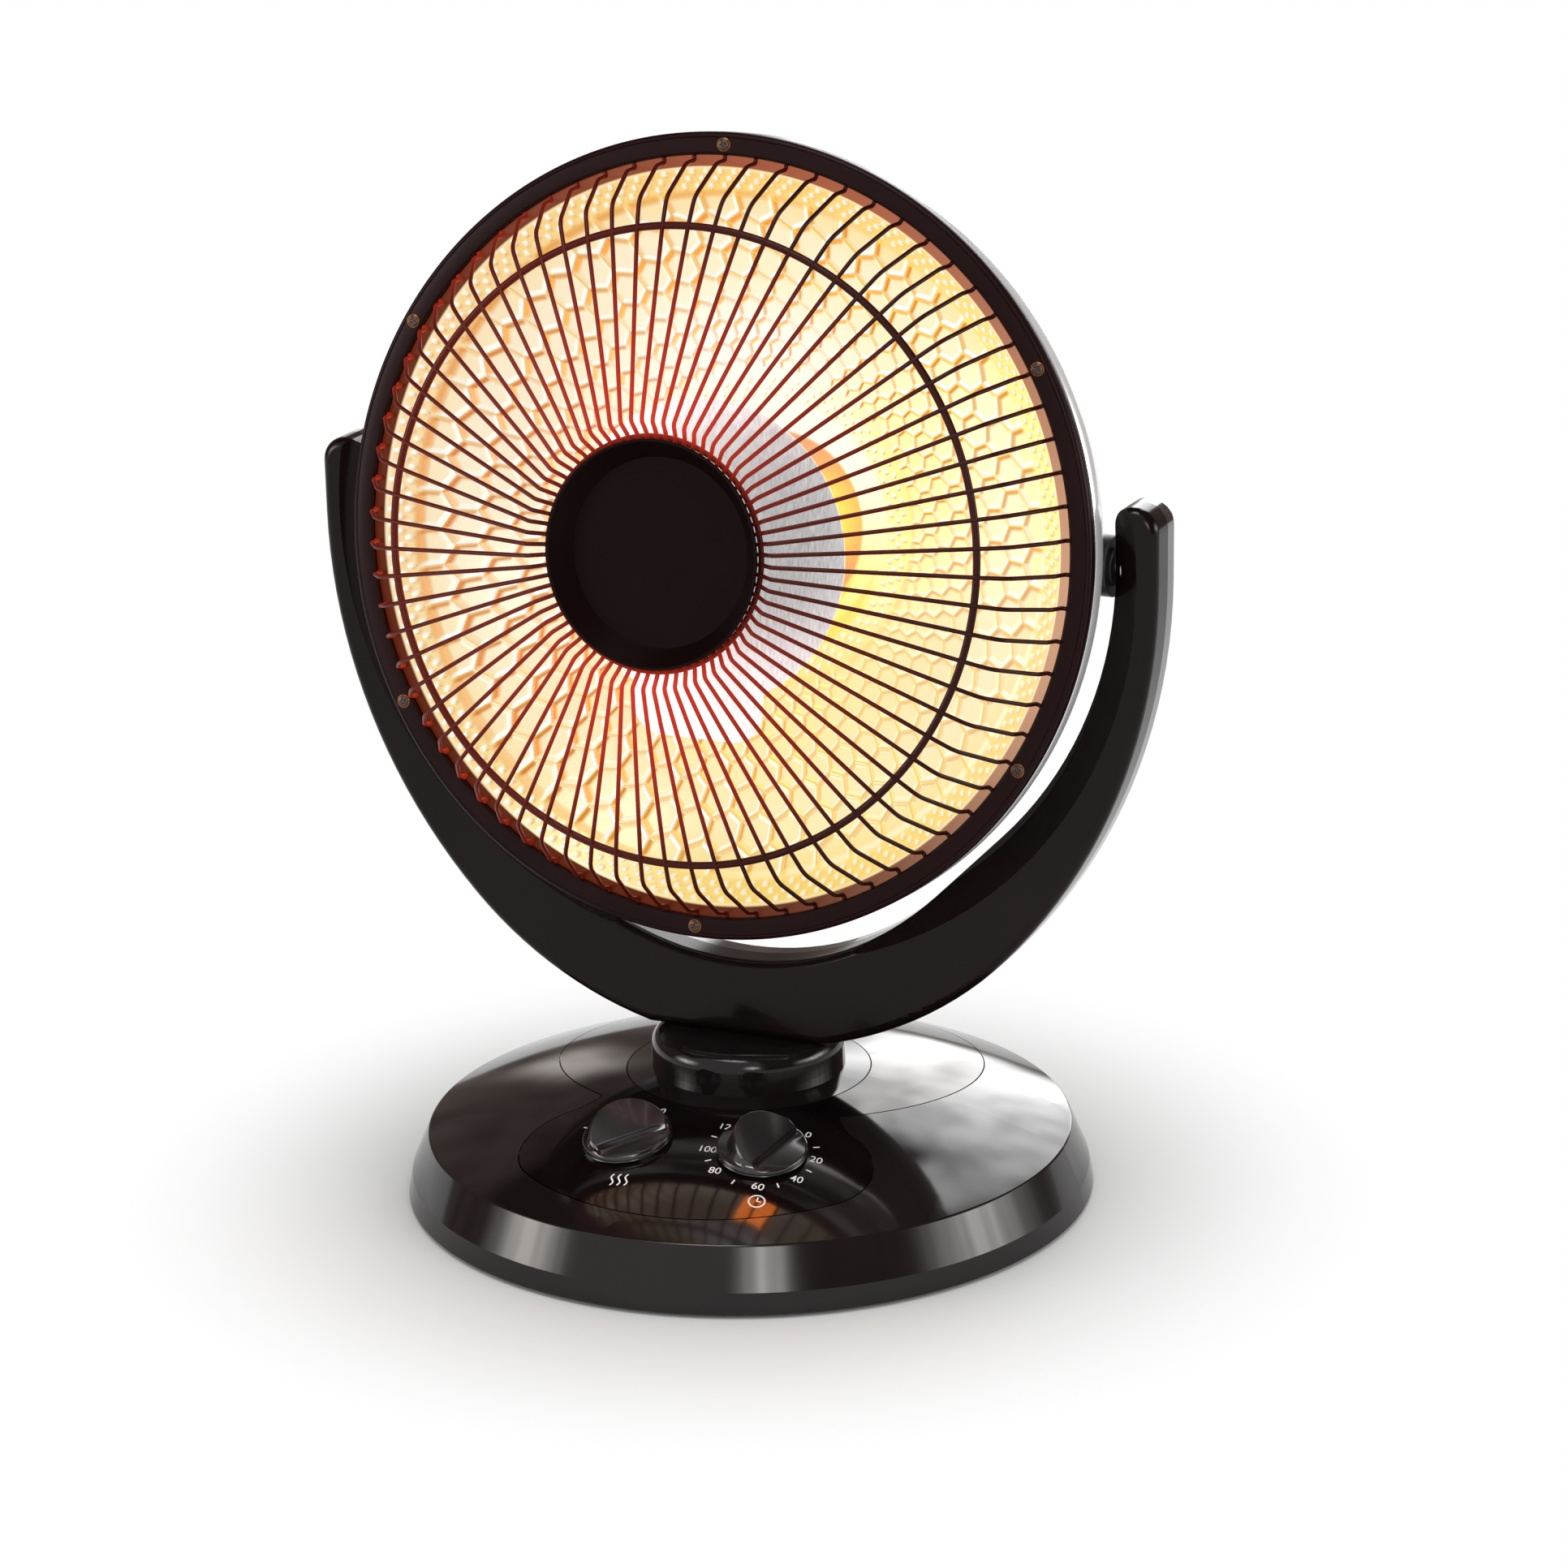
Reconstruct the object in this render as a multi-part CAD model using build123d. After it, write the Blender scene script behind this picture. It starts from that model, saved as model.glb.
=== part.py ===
from build123d import *
import math
import os

# Dish heater: a parabolic reflector dish behind a wire guard, carried in a
# crescent yoke on a turning neck, on a round weighted base with two knobs.
# Millimetres, +Z up, the dish looks along -Y, origin on the floor under the neck.

# Pose in which the heater stands
tilt_rest = 8.1            # the dish looks up by this many degrees
base_turn = 7.5            # the neck is caught this far from its middle position

# General making allowances
wall = 2.5                 # moulded wall
seat_gap = 0.1             # between pieces of one body that rest on each other
run_gap = 0.3              # between faces that slide or turn past each other
shaft_gap = 0.05           # radial clearance of a shaft in its bore
overrun = 5.0              # how far a cutting shape passes the face it cuts

# Base shell: skirt, bevel band and spherical dome
base_r = 164.7
base_skirt_lean = 1.9      # the skirt draws in by this much
base_bevel_width = 8.4
base_skirt_top_r = base_r - base_skirt_lean
base_rim_r = base_skirt_top_r - base_bevel_width
base_lift = 2.0            # bottom edge above the floor
base_skirt_z = 12.0
base_rim_z = 31.5
dome_r = 390.0
dome_centre_z = base_rim_z - math.sqrt(dome_r**2 - base_rim_r**2)
base_rim_round = 1.5
ledge_width = 5.0          # inward ledge that the deck rests on
ledge_overlap = 3.0        # how far the ledge runs back under the shell
ledge_t = 2.0

# Deck: a circle round the neck joined to the oval control panel
deck_circle_share = 0.6671       # these shares are of the dome's rim radius
deck_back_share = 0.2461
panel_front_share = 0.9035
panel_front_r_share = 0.7124
panel_half_share = 0.546
panel_widest_share = 0.57
panel_waist_half_share = 0.3238
deck_circle_r = base_rim_r * deck_circle_share
deck_circle_back = base_rim_r * deck_back_share
panel_front = base_rim_r * panel_front_share
panel_front_r = base_rim_r * panel_front_r_share
panel_half_width = base_rim_r * panel_half_share
panel_widest = base_rim_r * panel_widest_share   # how far ahead the panel is widest
panel_side_sweep = 68.0
panel_waist_half = base_rim_r * panel_waist_half_share
panel_waist = deck_circle_back
panel_waist_round = 3.0
panel_side_round = 8.0
deck_groove = 0.6

# Turntable and neck
turntable_r = 58.2
turntable_edge_t = 3.5
turntable_underside_z = dome_centre_z + math.sqrt(dome_r**2 - turntable_r**2) - turntable_edge_t
turntable_groove = 0.6
neck_r = 46.3
neck_height = 19.4         # above the dome
neck_top_z = dome_centre_z + math.sqrt(dome_r**2 - neck_r**2) + neck_height
neck_shoulder_round = 8.0
neck_wall = 3.0
wire_way_r = 10.0
spigot_r = 17.9
spigot_wall = 4.9
spigot_bore_r = spigot_r - spigot_wall
spigot_tail = 5.7          # below the clip

# Bottom plate, feet, ballast and what stands on the plate
plate_inset = 4.1
plate_r = base_r - plate_inset
plate_bottom_z = 2.5
plate_t = 1.5
foot_r = 11.0
foot_inset = 16.4
foot_circle_r = base_rim_r - foot_inset
foot_count = 4
foot_turn = 45.0
foot_height = 2.5
foot_plug_r = 3.0
foot_plug_height = 2.5
ballast_inset = 28.4
ballast_outer_r = base_rim_r - ballast_inset
ballast_t = 7.0
shell_boss_r = 4.5
shell_boss_inset = 8.4
shell_boss_circle_r = base_rim_r - shell_boss_inset
shell_boss_count = 6
shell_boss_turn = 20.0
plate_screw_r = 1.6
plate_screw_length = 12.0
plate_screw_head_r = 3.2
plate_screw_head_t = 1.4
plate_screw_bore_gap = 0.2
tower_bearing_wall = 6.1
tower_cavity_gap = 5.1
tower_wall = 5.0
tower_flange_t = 3.0
tower_bearing_length = 20.0
tower_neck_r = spigot_r + tower_bearing_wall
tower_cavity_r = spigot_r + tower_cavity_gap
tower_r = tower_cavity_r + tower_wall
thrust_washer_t = 3.2
thrust_washer_inset = 1.0
thrust_washer_outer_r = tower_r - thrust_washer_inset
tower_top_z = turntable_underside_z - run_gap - thrust_washer_t
clip_width = 3.1
clip_outer_r = spigot_r + clip_width
clip_t = 2.0
clip_drop = 0.4

# Knobs, their shafts and the controls under the deck
knob_side = 32.5
knob_ahead = 87.3
knob_r = 21.3
knob_lift = 0.9
knob_skirt_height = 4.6
knob_skirt_round = 1.0
knob_crown_inset = 1.1
knob_crown_r = knob_r - knob_crown_inset
knob_ridge_height = 6.2    # top of the half moon along its straight edge
knob_slope = 13.5          # the half moon rises away from that edge
knob_top_round = 1.0
knob_recess_floor = 2.8
knob_rim_width = 2.5
knob_recess_r = knob_r - knob_rim_width
knob_chord_offset = 6.0
knob_shaft_r = 3.0
knob_shaft_top = 5.0
heat_knob_turn = 36.0
timer_knob_turn = 72.0
shaft_hole_r = 4.2
control_boss_r = 10.0
control_boss_height = 5.0
switch_size = 32.0
switch_depth = 18.0
timer_r = 23.0
timer_depth = 26.0
shaft_entry = 6.0

# Tip-over switch
tip_box_length = 22.0
tip_box_width = 14.0
tip_box_height = 16.0
tip_gap = 11.0
tip_place = tower_r + tip_gap + tip_box_width / 2
plunger_r = 2.5
plunger_height = 12.0
plunger_hole_gap = 0.08
plunger_travel = 4.0

# Oscillation gearmotor
motor_r = 24.0
motor_height = 18.0
motor_gap = 4.0
motor_place = tower_r + motor_gap + motor_r
motor_turn = 35.0
ballast_gap = 4.0
ballast_inner_r = motor_place + motor_r + ballast_gap

# Terminal block and cord gland at the back of the base
terminal_length = 40.0
terminal_width = 16.0
terminal_height = 14.0
terminal_gap = 9.0
terminal_place = tip_place + tip_box_width / 2 + terminal_gap + terminal_width / 2
gland_r = 5.0
gland_bore_r = 3.2
gland_z = 11.0
gland_depth = 12.0
gland_flange_r = 6.5
gland_flange_t = 1.6
gland_seat_inset = 7.3
gland_seat_r = base_r - gland_seat_inset

# Dish
dish_ahead = 29.4          # bezel plane in front of the tilt axis
dish_drop = 1.9            # dish axis below the tilt axis
bezel_r = 185.0
bezel_face_width = 10.5
bezel_inner_r = bezel_r - bezel_face_width
bezel_face = 2.0           # front face ahead of the bezel plane
bezel_depth = 14.0
bezel_face_t = 3.0
bezel_wall = 2.2
bezel_round = 0.9
bezel_lip_t = 0.9
bezel_rebate_width = 1.7
bezel_rebate_r = bezel_inner_r + bezel_rebate_width
screw_inset = 5.6
screw_circle_r = bezel_r - screw_inset
screw_count = 6
screw_r = 1.5
screw_length = 9.0
screw_head_r = 2.8
screw_head_t = 1.4
screw_recess_r = 3.1
screw_bore_gap = 0.1

# Reflector
reflector_lip_inset = 4.5
reflector_r = bezel_inner_r - reflector_lip_inset
reflector_t = 0.8
reflector_flange_inset = 3.0
reflector_flange_r = bezel_r - reflector_flange_inset
reflector_flange_s = 1.1
reflector_depth = 76.0
reflector_step_r = 57.0
reflector_step_height = 3.0
reflector_plate_r = 46.0
reflector_hole_r = 19.0

# Rear shell: shares of its radius, and of its depth behind the bezel plane
shell_fit_gap = 0.6
shell_r = bezel_r - bezel_wall - shell_fit_gap
shell_behind = 16.0        # behind the reflector's lowest point
shell_back_s = reflector_depth + shell_behind
shell_start = 2.0
shell_straight_share = 0.1957
shell_shares = ((0.9824, 0.3196), (0.9385, 0.5435), (0.8123, 0.7609), (0.5379, 0.9239), (0.2854, 1.0))
shell_straight = shell_back_s * shell_straight_share
shell_side_r = shell_r * shell_shares[1][0]
shell_side_s = shell_back_s * shell_shares[1][1]
shell_slope_s = shell_back_s * shell_shares[3][1]
shell_wall = 1.6
shell_flange_t = 2.0
shell_flange_width = 9.2
shell_flange_inner_r = shell_r - shell_flange_width
vent_count = 12
vent_length = 26.0
vent_width = 4.0
vent_inset = 22.0          # inside the slope's outer end
vent_place = shell_r * shell_shares[3][0] - vent_inset

# Guard
wire_r = 1.0
wire_count = 72
ring_wire_r = 1.75
ring_inset = 30.2          # these insets are from the bezel's opening
guard_rise_inset = 2.1
guard_rim_inset = 3.5
guard_knee_inset = 17.5
guard_foot_inset = 0.6     # from the wall of the rebate
ring_r = bezel_inner_r - ring_inset
guard_foot_r = bezel_rebate_r - guard_foot_inset
guard_rise_r = bezel_inner_r - guard_rise_inset
guard_rim_r = bezel_inner_r - guard_rim_inset
guard_knee_r = bezel_inner_r - guard_knee_inset
guard_rim_ahead = 9.0
guard_knee_ahead = 31.0
ring_ahead = 36.7
hub_r = 51.7
hub_front = 64.4
hub_recess = 10.0
hub_floor_inset = 8.2
hub_floor_r = hub_r - hub_floor_inset
hub_wall = 1.2
joggle_width = 8.3
joggle_rise = 2.6
wire_end_inset = 0.7
wire_end_back = 3.2
guard_joggle_r = hub_r + joggle_width
guard_joggle_ahead = hub_front + joggle_rise
guard_end_r = hub_r - wire_end_inset
guard_end_ahead = hub_front - wire_end_back
hub_ring_width = 3.0
hub_ring_outer_r = guard_end_r + hub_ring_width
hub_ring_t = 1.4

# Yoke
yoke_gap = 2.0             # between the bezel and the arms
yoke_arm_width = 23.0
yoke_web = 37.0            # height of the yoke over the neck
yoke_low_gap = 19.1        # extra room under the dish
yoke_inner_r = bezel_r + yoke_gap
yoke_half_width = yoke_inner_r + yoke_arm_width
yoke_inner_bottom_z = neck_top_z + yoke_web
pivot_height = yoke_inner_bottom_z + yoke_low_gap + yoke_inner_r
yoke_belly_inset = 22.0
yoke_bottom_r = yoke_half_width - yoke_belly_inset
yoke_belly_drop = 5.5
yoke_bottom_z = neck_top_z - yoke_belly_drop   # lowest point of the bottom arc, below the flat seat
yoke_side_drop = 5.1
yoke_side_z = pivot_height - yoke_side_drop
yoke_tip_rise = 30.9
yoke_tip_z = pivot_height + yoke_tip_rise
yoke_front = 16.0
yoke_back = 12.0
yoke_bevel_width = 14.0
yoke_bevel_r = yoke_inner_r + yoke_bevel_width
yoke_bevel_drop = 4.0
yoke_bevel_depth = 12.0
yoke_front_round = 4.8
yoke_back_round = 4.5
yoke_wall = 3.0

# Pivots
pivot_gap = 0.6            # between the friction washers and the arms
pivot_boss_r = 14.0
pivot_boss_bore_gap = 0.05
pivot_pin_r = 3.0
pivot_head_r = 5.5
pivot_head_t = 3.0
bush_r = 7.0
bush_length = 9.0
pivot_pin_tail = 8.0       # inside the shell's side
pivot_pin_past = 3.0       # past the bush
pivot_pin_inside = shell_side_r - pivot_pin_tail
pivot_pin_end = yoke_inner_r + yoke_wall + bush_length + pivot_pin_past
bush_block_half = 12.0
washer_r = 9.0
washer_t = 1.0
pin_way_r = 4.0

# Heating element
holder_r = 24.0
holder_depth = 12.0
core_r = 17.0
core_front = 6.0
coil_turns = 8
coil_wire_r = 0.9
coil_back_gap = 8.5
coil_front_gap = 8.0
rod_r = 2.5
rod_tail = 0.6
shield_place = 8.0         # ahead of the bezel plane
shield_r = 70.0
shield_drop = 4.5
shield_t = 0.8
tab_half_width = 32.5
tab_reach = 86.0
tab_round = 15.0
nut_r = 6.0
nut_t = 5.0
spacer_wall = 2.5
cutout_r = 9.0
cutout_t = 7.0
cutout_place = 70.0
cutout_stand = 3.3
cover_r = 42.0
cover_t = 9.0


def dome_z(radius, inset=0.0):
    """Height of the dome surface, or of a surface inset below it."""
    return dome_centre_z + math.sqrt((dome_r - inset) ** 2 - radius**2)


def spun(face):
    """A profile drawn as (radius, place along the axis) turned about Y."""
    return revolve(face, Axis.Y)


def spun_upright(face):
    """A profile drawn on XZ turned about Z."""
    return revolve(face, Axis.Z)


def outline(*points):
    return make_face(Polyline(*points, close=True))


def upright_outline(*points):
    return make_face(Plane.XZ * Polyline(*points, close=True))


def rod(radius, height, bottom=0.0):
    """An upright cylinder from bottom upwards."""
    return Pos(0, 0, bottom) * Cylinder(radius, height, align=(Align.CENTER, Align.CENTER, Align.MIN))


def rod_x(radius, start, end):
    """A cylinder along X from start to end."""
    length = abs(end - start)
    return Pos((start + end) / 2, 0, 0) * Rot(0, 90, 0) * Cylinder(radius, length)


def rod_y(radius, start, end):
    """A cylinder along Y from start to end."""
    return Pos(0, (start + end) / 2, 0) * Rot(90, 0, 0) * Cylinder(radius, abs(end - start))


def around_z(count, radius, shape, start=0.0):
    return [Rot(0, 0, start + 360 / count * i) * Pos(radius, 0, 0) * shape for i in range(count)]


def around_y(count, radius, shape, start=0.0):
    """Copies of a shape about the dish axis, the first one at the top."""
    step = 360 / count
    return [Rot(0, start + step * i, 0) * Pos(0, 0, radius) * shape for i in range(count)]


def in_base(shape):
    return Rot(0, 0, base_turn) * shape


def in_dish(shape):
    lifted = Rot(-tilt_rest, 0, 0) * Pos(0, -dish_ahead, -dish_drop) * shape
    return Pos(0, 0, pivot_height) * lifted


def at_pivot(shape):
    """Something drawn on the tilt axis that tilts with the dish."""
    return Pos(0, 0, pivot_height) * Rot(-tilt_rest, 0, 0) * shape


def knob_plane(side):
    """Plane on the deck under a knob, its Z square to the dome."""
    radius = math.hypot(knob_side, knob_ahead)
    spot = Vector(side * knob_side, -knob_ahead, dome_z(radius))
    centre = Vector(0, 0, dome_z(0) - dome_r)
    normal = (spot - centre).normalized()
    return Plane(origin=spot, x_dir=Vector(1, 0, 0), z_dir=normal)


# Base shell and deck

def deck_outline(grow=0.0):
    centre = panel_front - panel_front_r
    rise = panel_widest - centre
    side_r = (panel_front_r**2 - panel_half_width**2 - rise**2) / (2 * (panel_front_r - panel_half_width))
    side_x = panel_half_width - side_r
    join = math.atan2(rise, side_x)
    sweep_end = math.radians(panel_side_sweep)
    front_mid = (math.pi / 2 + join) / 2

    def front_point(angle):
        return (panel_front_r * math.cos(angle), -centre - panel_front_r * math.sin(angle))

    def side_point(angle):
        return (side_x + side_r * math.cos(angle), -panel_widest - side_r * math.sin(angle))

    with BuildSketch() as half:
        with BuildLine():
            ThreePointArc((0, -panel_front), front_point(front_mid), front_point(join))
            ThreePointArc(side_point(join), side_point(join / 2), side_point(0))
            ThreePointArc(side_point(0), side_point(-sweep_end / 2), side_point(-sweep_end))
            Line(side_point(-sweep_end), (panel_waist_half, -panel_waist))
            Line((panel_waist_half, -panel_waist), (0, -panel_waist))
            Line((0, -panel_waist), (0, -panel_front))
        make_face()
    panel = half.sketch + mirror(half.sketch, Plane.YZ)
    plan = panel + Pos(0, deck_circle_back, 0) * Circle(deck_circle_r)
    shoulder = side_point(-sweep_end)
    sides = [v for v in plan.vertices() if abs(v.Y - shoulder[1]) < seat_gap]
    plan = fillet(sides, panel_side_round)
    waist = [v for v in plan.vertices() if shoulder[1] + overrun < v.Y < 0 and is_waist(v)]
    plan = fillet(waist, panel_waist_round)
    return offset(plan, grow) if grow else plan


def is_waist(vertex):
    """True where the deck's circle meets the control panel."""
    from_circle = math.hypot(vertex.X, vertex.Y - deck_circle_back)
    return abs(from_circle - deck_circle_r) < seat_gap and abs(vertex.X) < deck_circle_r - overrun


def dome_layer(top_inset, bottom_inset, reach):
    """A layer of the dome between two depths, out to a radius."""
    top = rod_sphere(dome_r - top_inset)
    bottom = rod_sphere(dome_r - bottom_inset)
    return (top - bottom) & rod(reach, dome_r)


def rod_sphere(radius):
    return Pos(0, 0, dome_z(0) - dome_r) * Sphere(radius)


def base_solid(inset=0.0):
    """The base's outer form, or that form drawn in by a wall."""
    rim_r = base_rim_r - inset
    rim_z = dome_z(rim_r, inset) if inset else base_rim_z
    bottom = base_lift if not inset else base_lift - overrun
    mid_r = rim_r / 2
    with BuildSketch(Plane.XZ) as profile:
        with BuildLine():
            Line((0, bottom), (base_r - inset, bottom))
            Line((base_r - inset, bottom), (base_skirt_top_r - inset, base_skirt_z))
            Line((base_skirt_top_r - inset, base_skirt_z), (rim_r, rim_z))
            ThreePointArc((rim_r, rim_z), (mid_r, dome_z(mid_r, inset)), (0, dome_z(0, inset)))
            Line((0, dome_z(0, inset)), (0, bottom))
        make_face()
        if not inset:
            rim = profile.vertices().filter_by(lambda v: abs(v.X - rim_r) < seat_gap)
            fillet(rim, base_rim_round)
    return spun_upright(profile.sketch)


def gland_cut(radius):
    return Pos(0, 0, gland_z) * rod_y(radius, base_r - gland_depth - overrun, base_r + overrun)


def make_base_shell():
    shell = base_solid() - base_solid(wall)
    shell -= gland_cut(gland_r + seat_gap)
    shell -= extrude(deck_outline(deck_groove), base_rim_z + dome_r)
    depth = wall + seat_gap + ledge_t
    ledge = dome_layer(wall / 2, depth, base_rim_r - wall) & extrude(deck_outline(ledge_overlap), dome_r)
    ledge -= extrude(deck_outline(-ledge_width), dome_r)
    ledge -= dome_layer(-overrun, wall + seat_gap, base_rim_r) & extrude(deck_outline(deck_groove), dome_r)
    shell += ledge
    post_bottom = plate_bottom_z + plate_t
    inside = base_solid() & rod(base_rim_r, dome_r, post_bottom)
    bore = rod(plate_screw_r + plate_screw_bore_gap, plate_screw_length + overrun, post_bottom - overrun)
    post = rod(shell_boss_r, dome_r, post_bottom)
    for place in around_z(shell_boss_count, shell_boss_circle_r, post, shell_boss_turn):
        shell += place & inside
    for cut in around_z(shell_boss_count, shell_boss_circle_r, bore, shell_boss_turn):
        shell -= cut
    return shell


def make_deck():
    deck = dome_layer(0, wall, base_rim_r) & extrude(deck_outline(), dome_r)
    deck -= rod(turntable_r + turntable_groove, dome_r)
    for side in (-1, 1):
        plane = knob_plane(side)
        boss = plane * rod(control_boss_r, control_boss_height, -control_boss_height)
        deck += boss & rod_sphere(dome_r - wall / 2)
        deck -= plane * rod(shaft_hole_r, control_boss_height + 2 * overrun, -control_boss_height - overrun)
    return deck


# Neck, bearing and what stands on the bottom plate

def make_neck():
    r_in = neck_r - neck_wall
    spigot_bottom_z = clip_top_z() - clip_t - spigot_tail
    floor_z = turntable_underside_z + neck_wall
    shoulder = neck_shoulder_round * math.sqrt(0.5)
    with BuildSketch(Plane.XZ) as profile:
        with BuildLine():
            Line((spigot_bore_r, spigot_bottom_z), (spigot_r, spigot_bottom_z))
            Line((spigot_r, spigot_bottom_z), (spigot_r, turntable_underside_z))
            Line((spigot_r, turntable_underside_z), (turntable_r, turntable_underside_z))
            Line((turntable_r, turntable_underside_z), (turntable_r, dome_z(turntable_r)))
            Line((turntable_r, dome_z(turntable_r)), (neck_r, dome_z(neck_r)))
            Line((neck_r, dome_z(neck_r)), (neck_r, neck_top_z - neck_shoulder_round))
            ThreePointArc(
                (neck_r, neck_top_z - neck_shoulder_round),
                (neck_r - neck_shoulder_round + shoulder, neck_top_z - neck_shoulder_round + shoulder),
                (neck_r - neck_shoulder_round, neck_top_z),
            )
            Line((neck_r - neck_shoulder_round, neck_top_z), (wire_way_r, neck_top_z))
            Line((wire_way_r, neck_top_z), (wire_way_r, neck_top_z - neck_wall))
            Line((wire_way_r, neck_top_z - neck_wall), (r_in - neck_shoulder_round, neck_top_z - neck_wall))
            Line((r_in - neck_shoulder_round, neck_top_z - neck_wall), (r_in, neck_top_z - neck_shoulder_round))
            Line((r_in, neck_top_z - neck_shoulder_round), (r_in, floor_z))
            Line((r_in, floor_z), (spigot_bore_r, floor_z))
            Line((spigot_bore_r, floor_z), (spigot_bore_r, spigot_bottom_z))
        make_face()
    neck = spun_upright(profile.sketch)
    groove_top = clip_top_z()
    groove = rod(spigot_r + overrun, clip_t + 2 * seat_gap, groove_top - clip_t - seat_gap)
    groove -= rod(spigot_r - clip_drop - seat_gap, clip_t + 2 * overrun, groove_top - clip_t - overrun)
    return neck - groove


def clip_top_z():
    return tower_top_z - tower_bearing_length - run_gap


def make_bearing_tower():
    bottom = plate_bottom_z + plate_t
    bearing_bottom = tower_top_z - tower_bearing_length
    return spun_upright(upright_outline(
        (tower_cavity_r, bottom),
        (tower_r, bottom),
        (tower_r, bearing_bottom),
        (tower_neck_r, bearing_bottom + tower_flange_t),
        (tower_neck_r, tower_top_z - tower_flange_t),
        (tower_r, tower_top_z - tower_flange_t),
        (tower_r, tower_top_z),
        (spigot_r + shaft_gap, tower_top_z),
        (spigot_r + shaft_gap, bearing_bottom),
        (tower_cavity_r, bearing_bottom),
    ))


def make_thrust_washer():
    ring = rod(thrust_washer_outer_r, thrust_washer_t, tower_top_z)
    return ring - rod(spigot_r + run_gap, thrust_washer_t + 2 * overrun, tower_top_z - overrun)


def make_retaining_ring():
    bottom = clip_top_z() - clip_t
    ring = rod(clip_outer_r, clip_t, bottom)
    return ring - rod(spigot_r - clip_drop, clip_t + 2 * overrun, bottom - overrun)


def make_bottom_plate():
    plate = rod(plate_r, plate_t, plate_bottom_z)
    hole = rod(plate_screw_r + plate_screw_bore_gap, plate_t + 2 * overrun, plate_bottom_z - overrun)
    for cut in around_z(shell_boss_count, shell_boss_circle_r, hole, shell_boss_turn):
        plate -= cut
    foot_hole = rod(foot_plug_r + seat_gap, plate_t + 2 * overrun, plate_bottom_z - overrun)
    for cut in around_z(foot_count, foot_circle_r, foot_hole, foot_turn):
        plate -= cut
    plunger_hole = rod(plunger_r + plunger_hole_gap, plate_t + 2 * overrun, plate_bottom_z - overrun)
    return plate - Pos(0, tip_place, 0) * plunger_hole


def make_plate_screws():
    shank_bottom = plate_bottom_z
    screw = rod(plate_screw_r, plate_screw_length, shank_bottom)
    screw += rod(plate_screw_head_r, plate_screw_head_t, shank_bottom - plate_screw_head_t)
    return around_z(shell_boss_count, shell_boss_circle_r, screw, shell_boss_turn)


def make_feet():
    foot = rod(foot_r, foot_height) + rod(foot_plug_r, foot_plug_height + foot_height)
    foot = chamfer(foot.edges().group_by(Axis.Z)[0], foot_height / 4)
    return around_z(foot_count, foot_circle_r, foot, foot_turn)


def make_ballast():
    bottom = plate_bottom_z + plate_t
    return rod(ballast_outer_r, ballast_t, bottom) - rod(ballast_inner_r, ballast_t + 2 * overrun, bottom - overrun)


def make_tip_switch():
    bottom = plate_bottom_z + plate_t
    box = Pos(0, tip_place, bottom) * Box(
        tip_box_length, tip_box_width, tip_box_height, align=(Align.CENTER, Align.CENTER, Align.MIN)
    )
    way = rod(plunger_r + plunger_hole_gap, plunger_height + overrun, bottom - overrun)
    return box - Pos(0, tip_place, 0) * way


def make_tip_plunger():
    plunger = rod(plunger_r, plunger_height)
    plunger = fillet(plunger.edges().group_by(Axis.Z)[0], plunger_r / 2)
    return Pos(0, tip_place, 0) * plunger


def make_gearmotor():
    bottom = plate_bottom_z + plate_t
    place = Rot(0, 0, motor_turn) * Pos(-motor_place, 0, 0)
    return place * rod(motor_r, motor_height, bottom)


def make_terminal_block():
    bottom = plate_bottom_z + plate_t
    block = Box(terminal_length, terminal_width, terminal_height, align=(Align.CENTER, Align.CENTER, Align.MIN))
    return Pos(0, terminal_place, bottom) * block


def make_cord_gland():
    inner = base_r - gland_depth
    seat = gland_seat_r
    body = rod_y(gland_r, inner, base_skirt_top_r + seat_gap)
    body += rod_y(gland_flange_r, seat - gland_flange_t, seat)
    bore = rod_y(gland_bore_r, inner - overrun, base_r + overrun)
    return Pos(0, 0, gland_z) * (body - bore)


# Controls

def knob_solid(turn):
    """Round knob: a straight-edged half moon stands over a shallow crescent."""
    skirt = rod(knob_r, knob_skirt_height - knob_lift, knob_lift)
    skirt = fillet(skirt.edges().group_by(Axis.Z)[-1], knob_skirt_round)
    reach = 2 * knob_r
    behind = Box(2 * reach, reach, reach, align=(Align.CENTER, Align.MIN, Align.MIN))
    behind = Pos(0, -knob_chord_offset, knob_recess_floor) * behind
    under = Box(2 * reach, 2 * reach, reach, align=(Align.CENTER, Align.CENTER, Align.MAX))
    under = Pos(0, -knob_chord_offset, knob_ridge_height) * Rot(knob_slope, 0, 0) * under
    crown = rod(knob_crown_r, reach, knob_recess_floor) & behind & under
    crown = fillet(crown.faces().sort_by(Axis.Z)[-1].edges(), knob_top_round)
    pocket = rod(knob_recess_r, reach, knob_recess_floor) - behind
    body = skirt - pocket + crown
    socket = rod(knob_shaft_r + shaft_gap, knob_shaft_top + seat_gap, 0)
    return Rot(0, 0, turn) * (body - socket)


def make_knob(side, turn):
    return knob_plane(side) * knob_solid(turn)


def make_knob_shaft(side):
    bottom = -control_boss_height - shaft_entry
    return knob_plane(side) * rod(knob_shaft_r, knob_shaft_top - bottom, bottom)


def make_heat_switch():
    body = Box(switch_size, switch_size, switch_depth, align=(Align.CENTER, Align.CENTER, Align.MAX))
    body = Pos(0, 0, -control_boss_height - seat_gap) * body
    way = rod(knob_shaft_r + shaft_gap, shaft_entry + run_gap + overrun, -control_boss_height - shaft_entry - run_gap)
    return knob_plane(-1) * (body - way)


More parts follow.
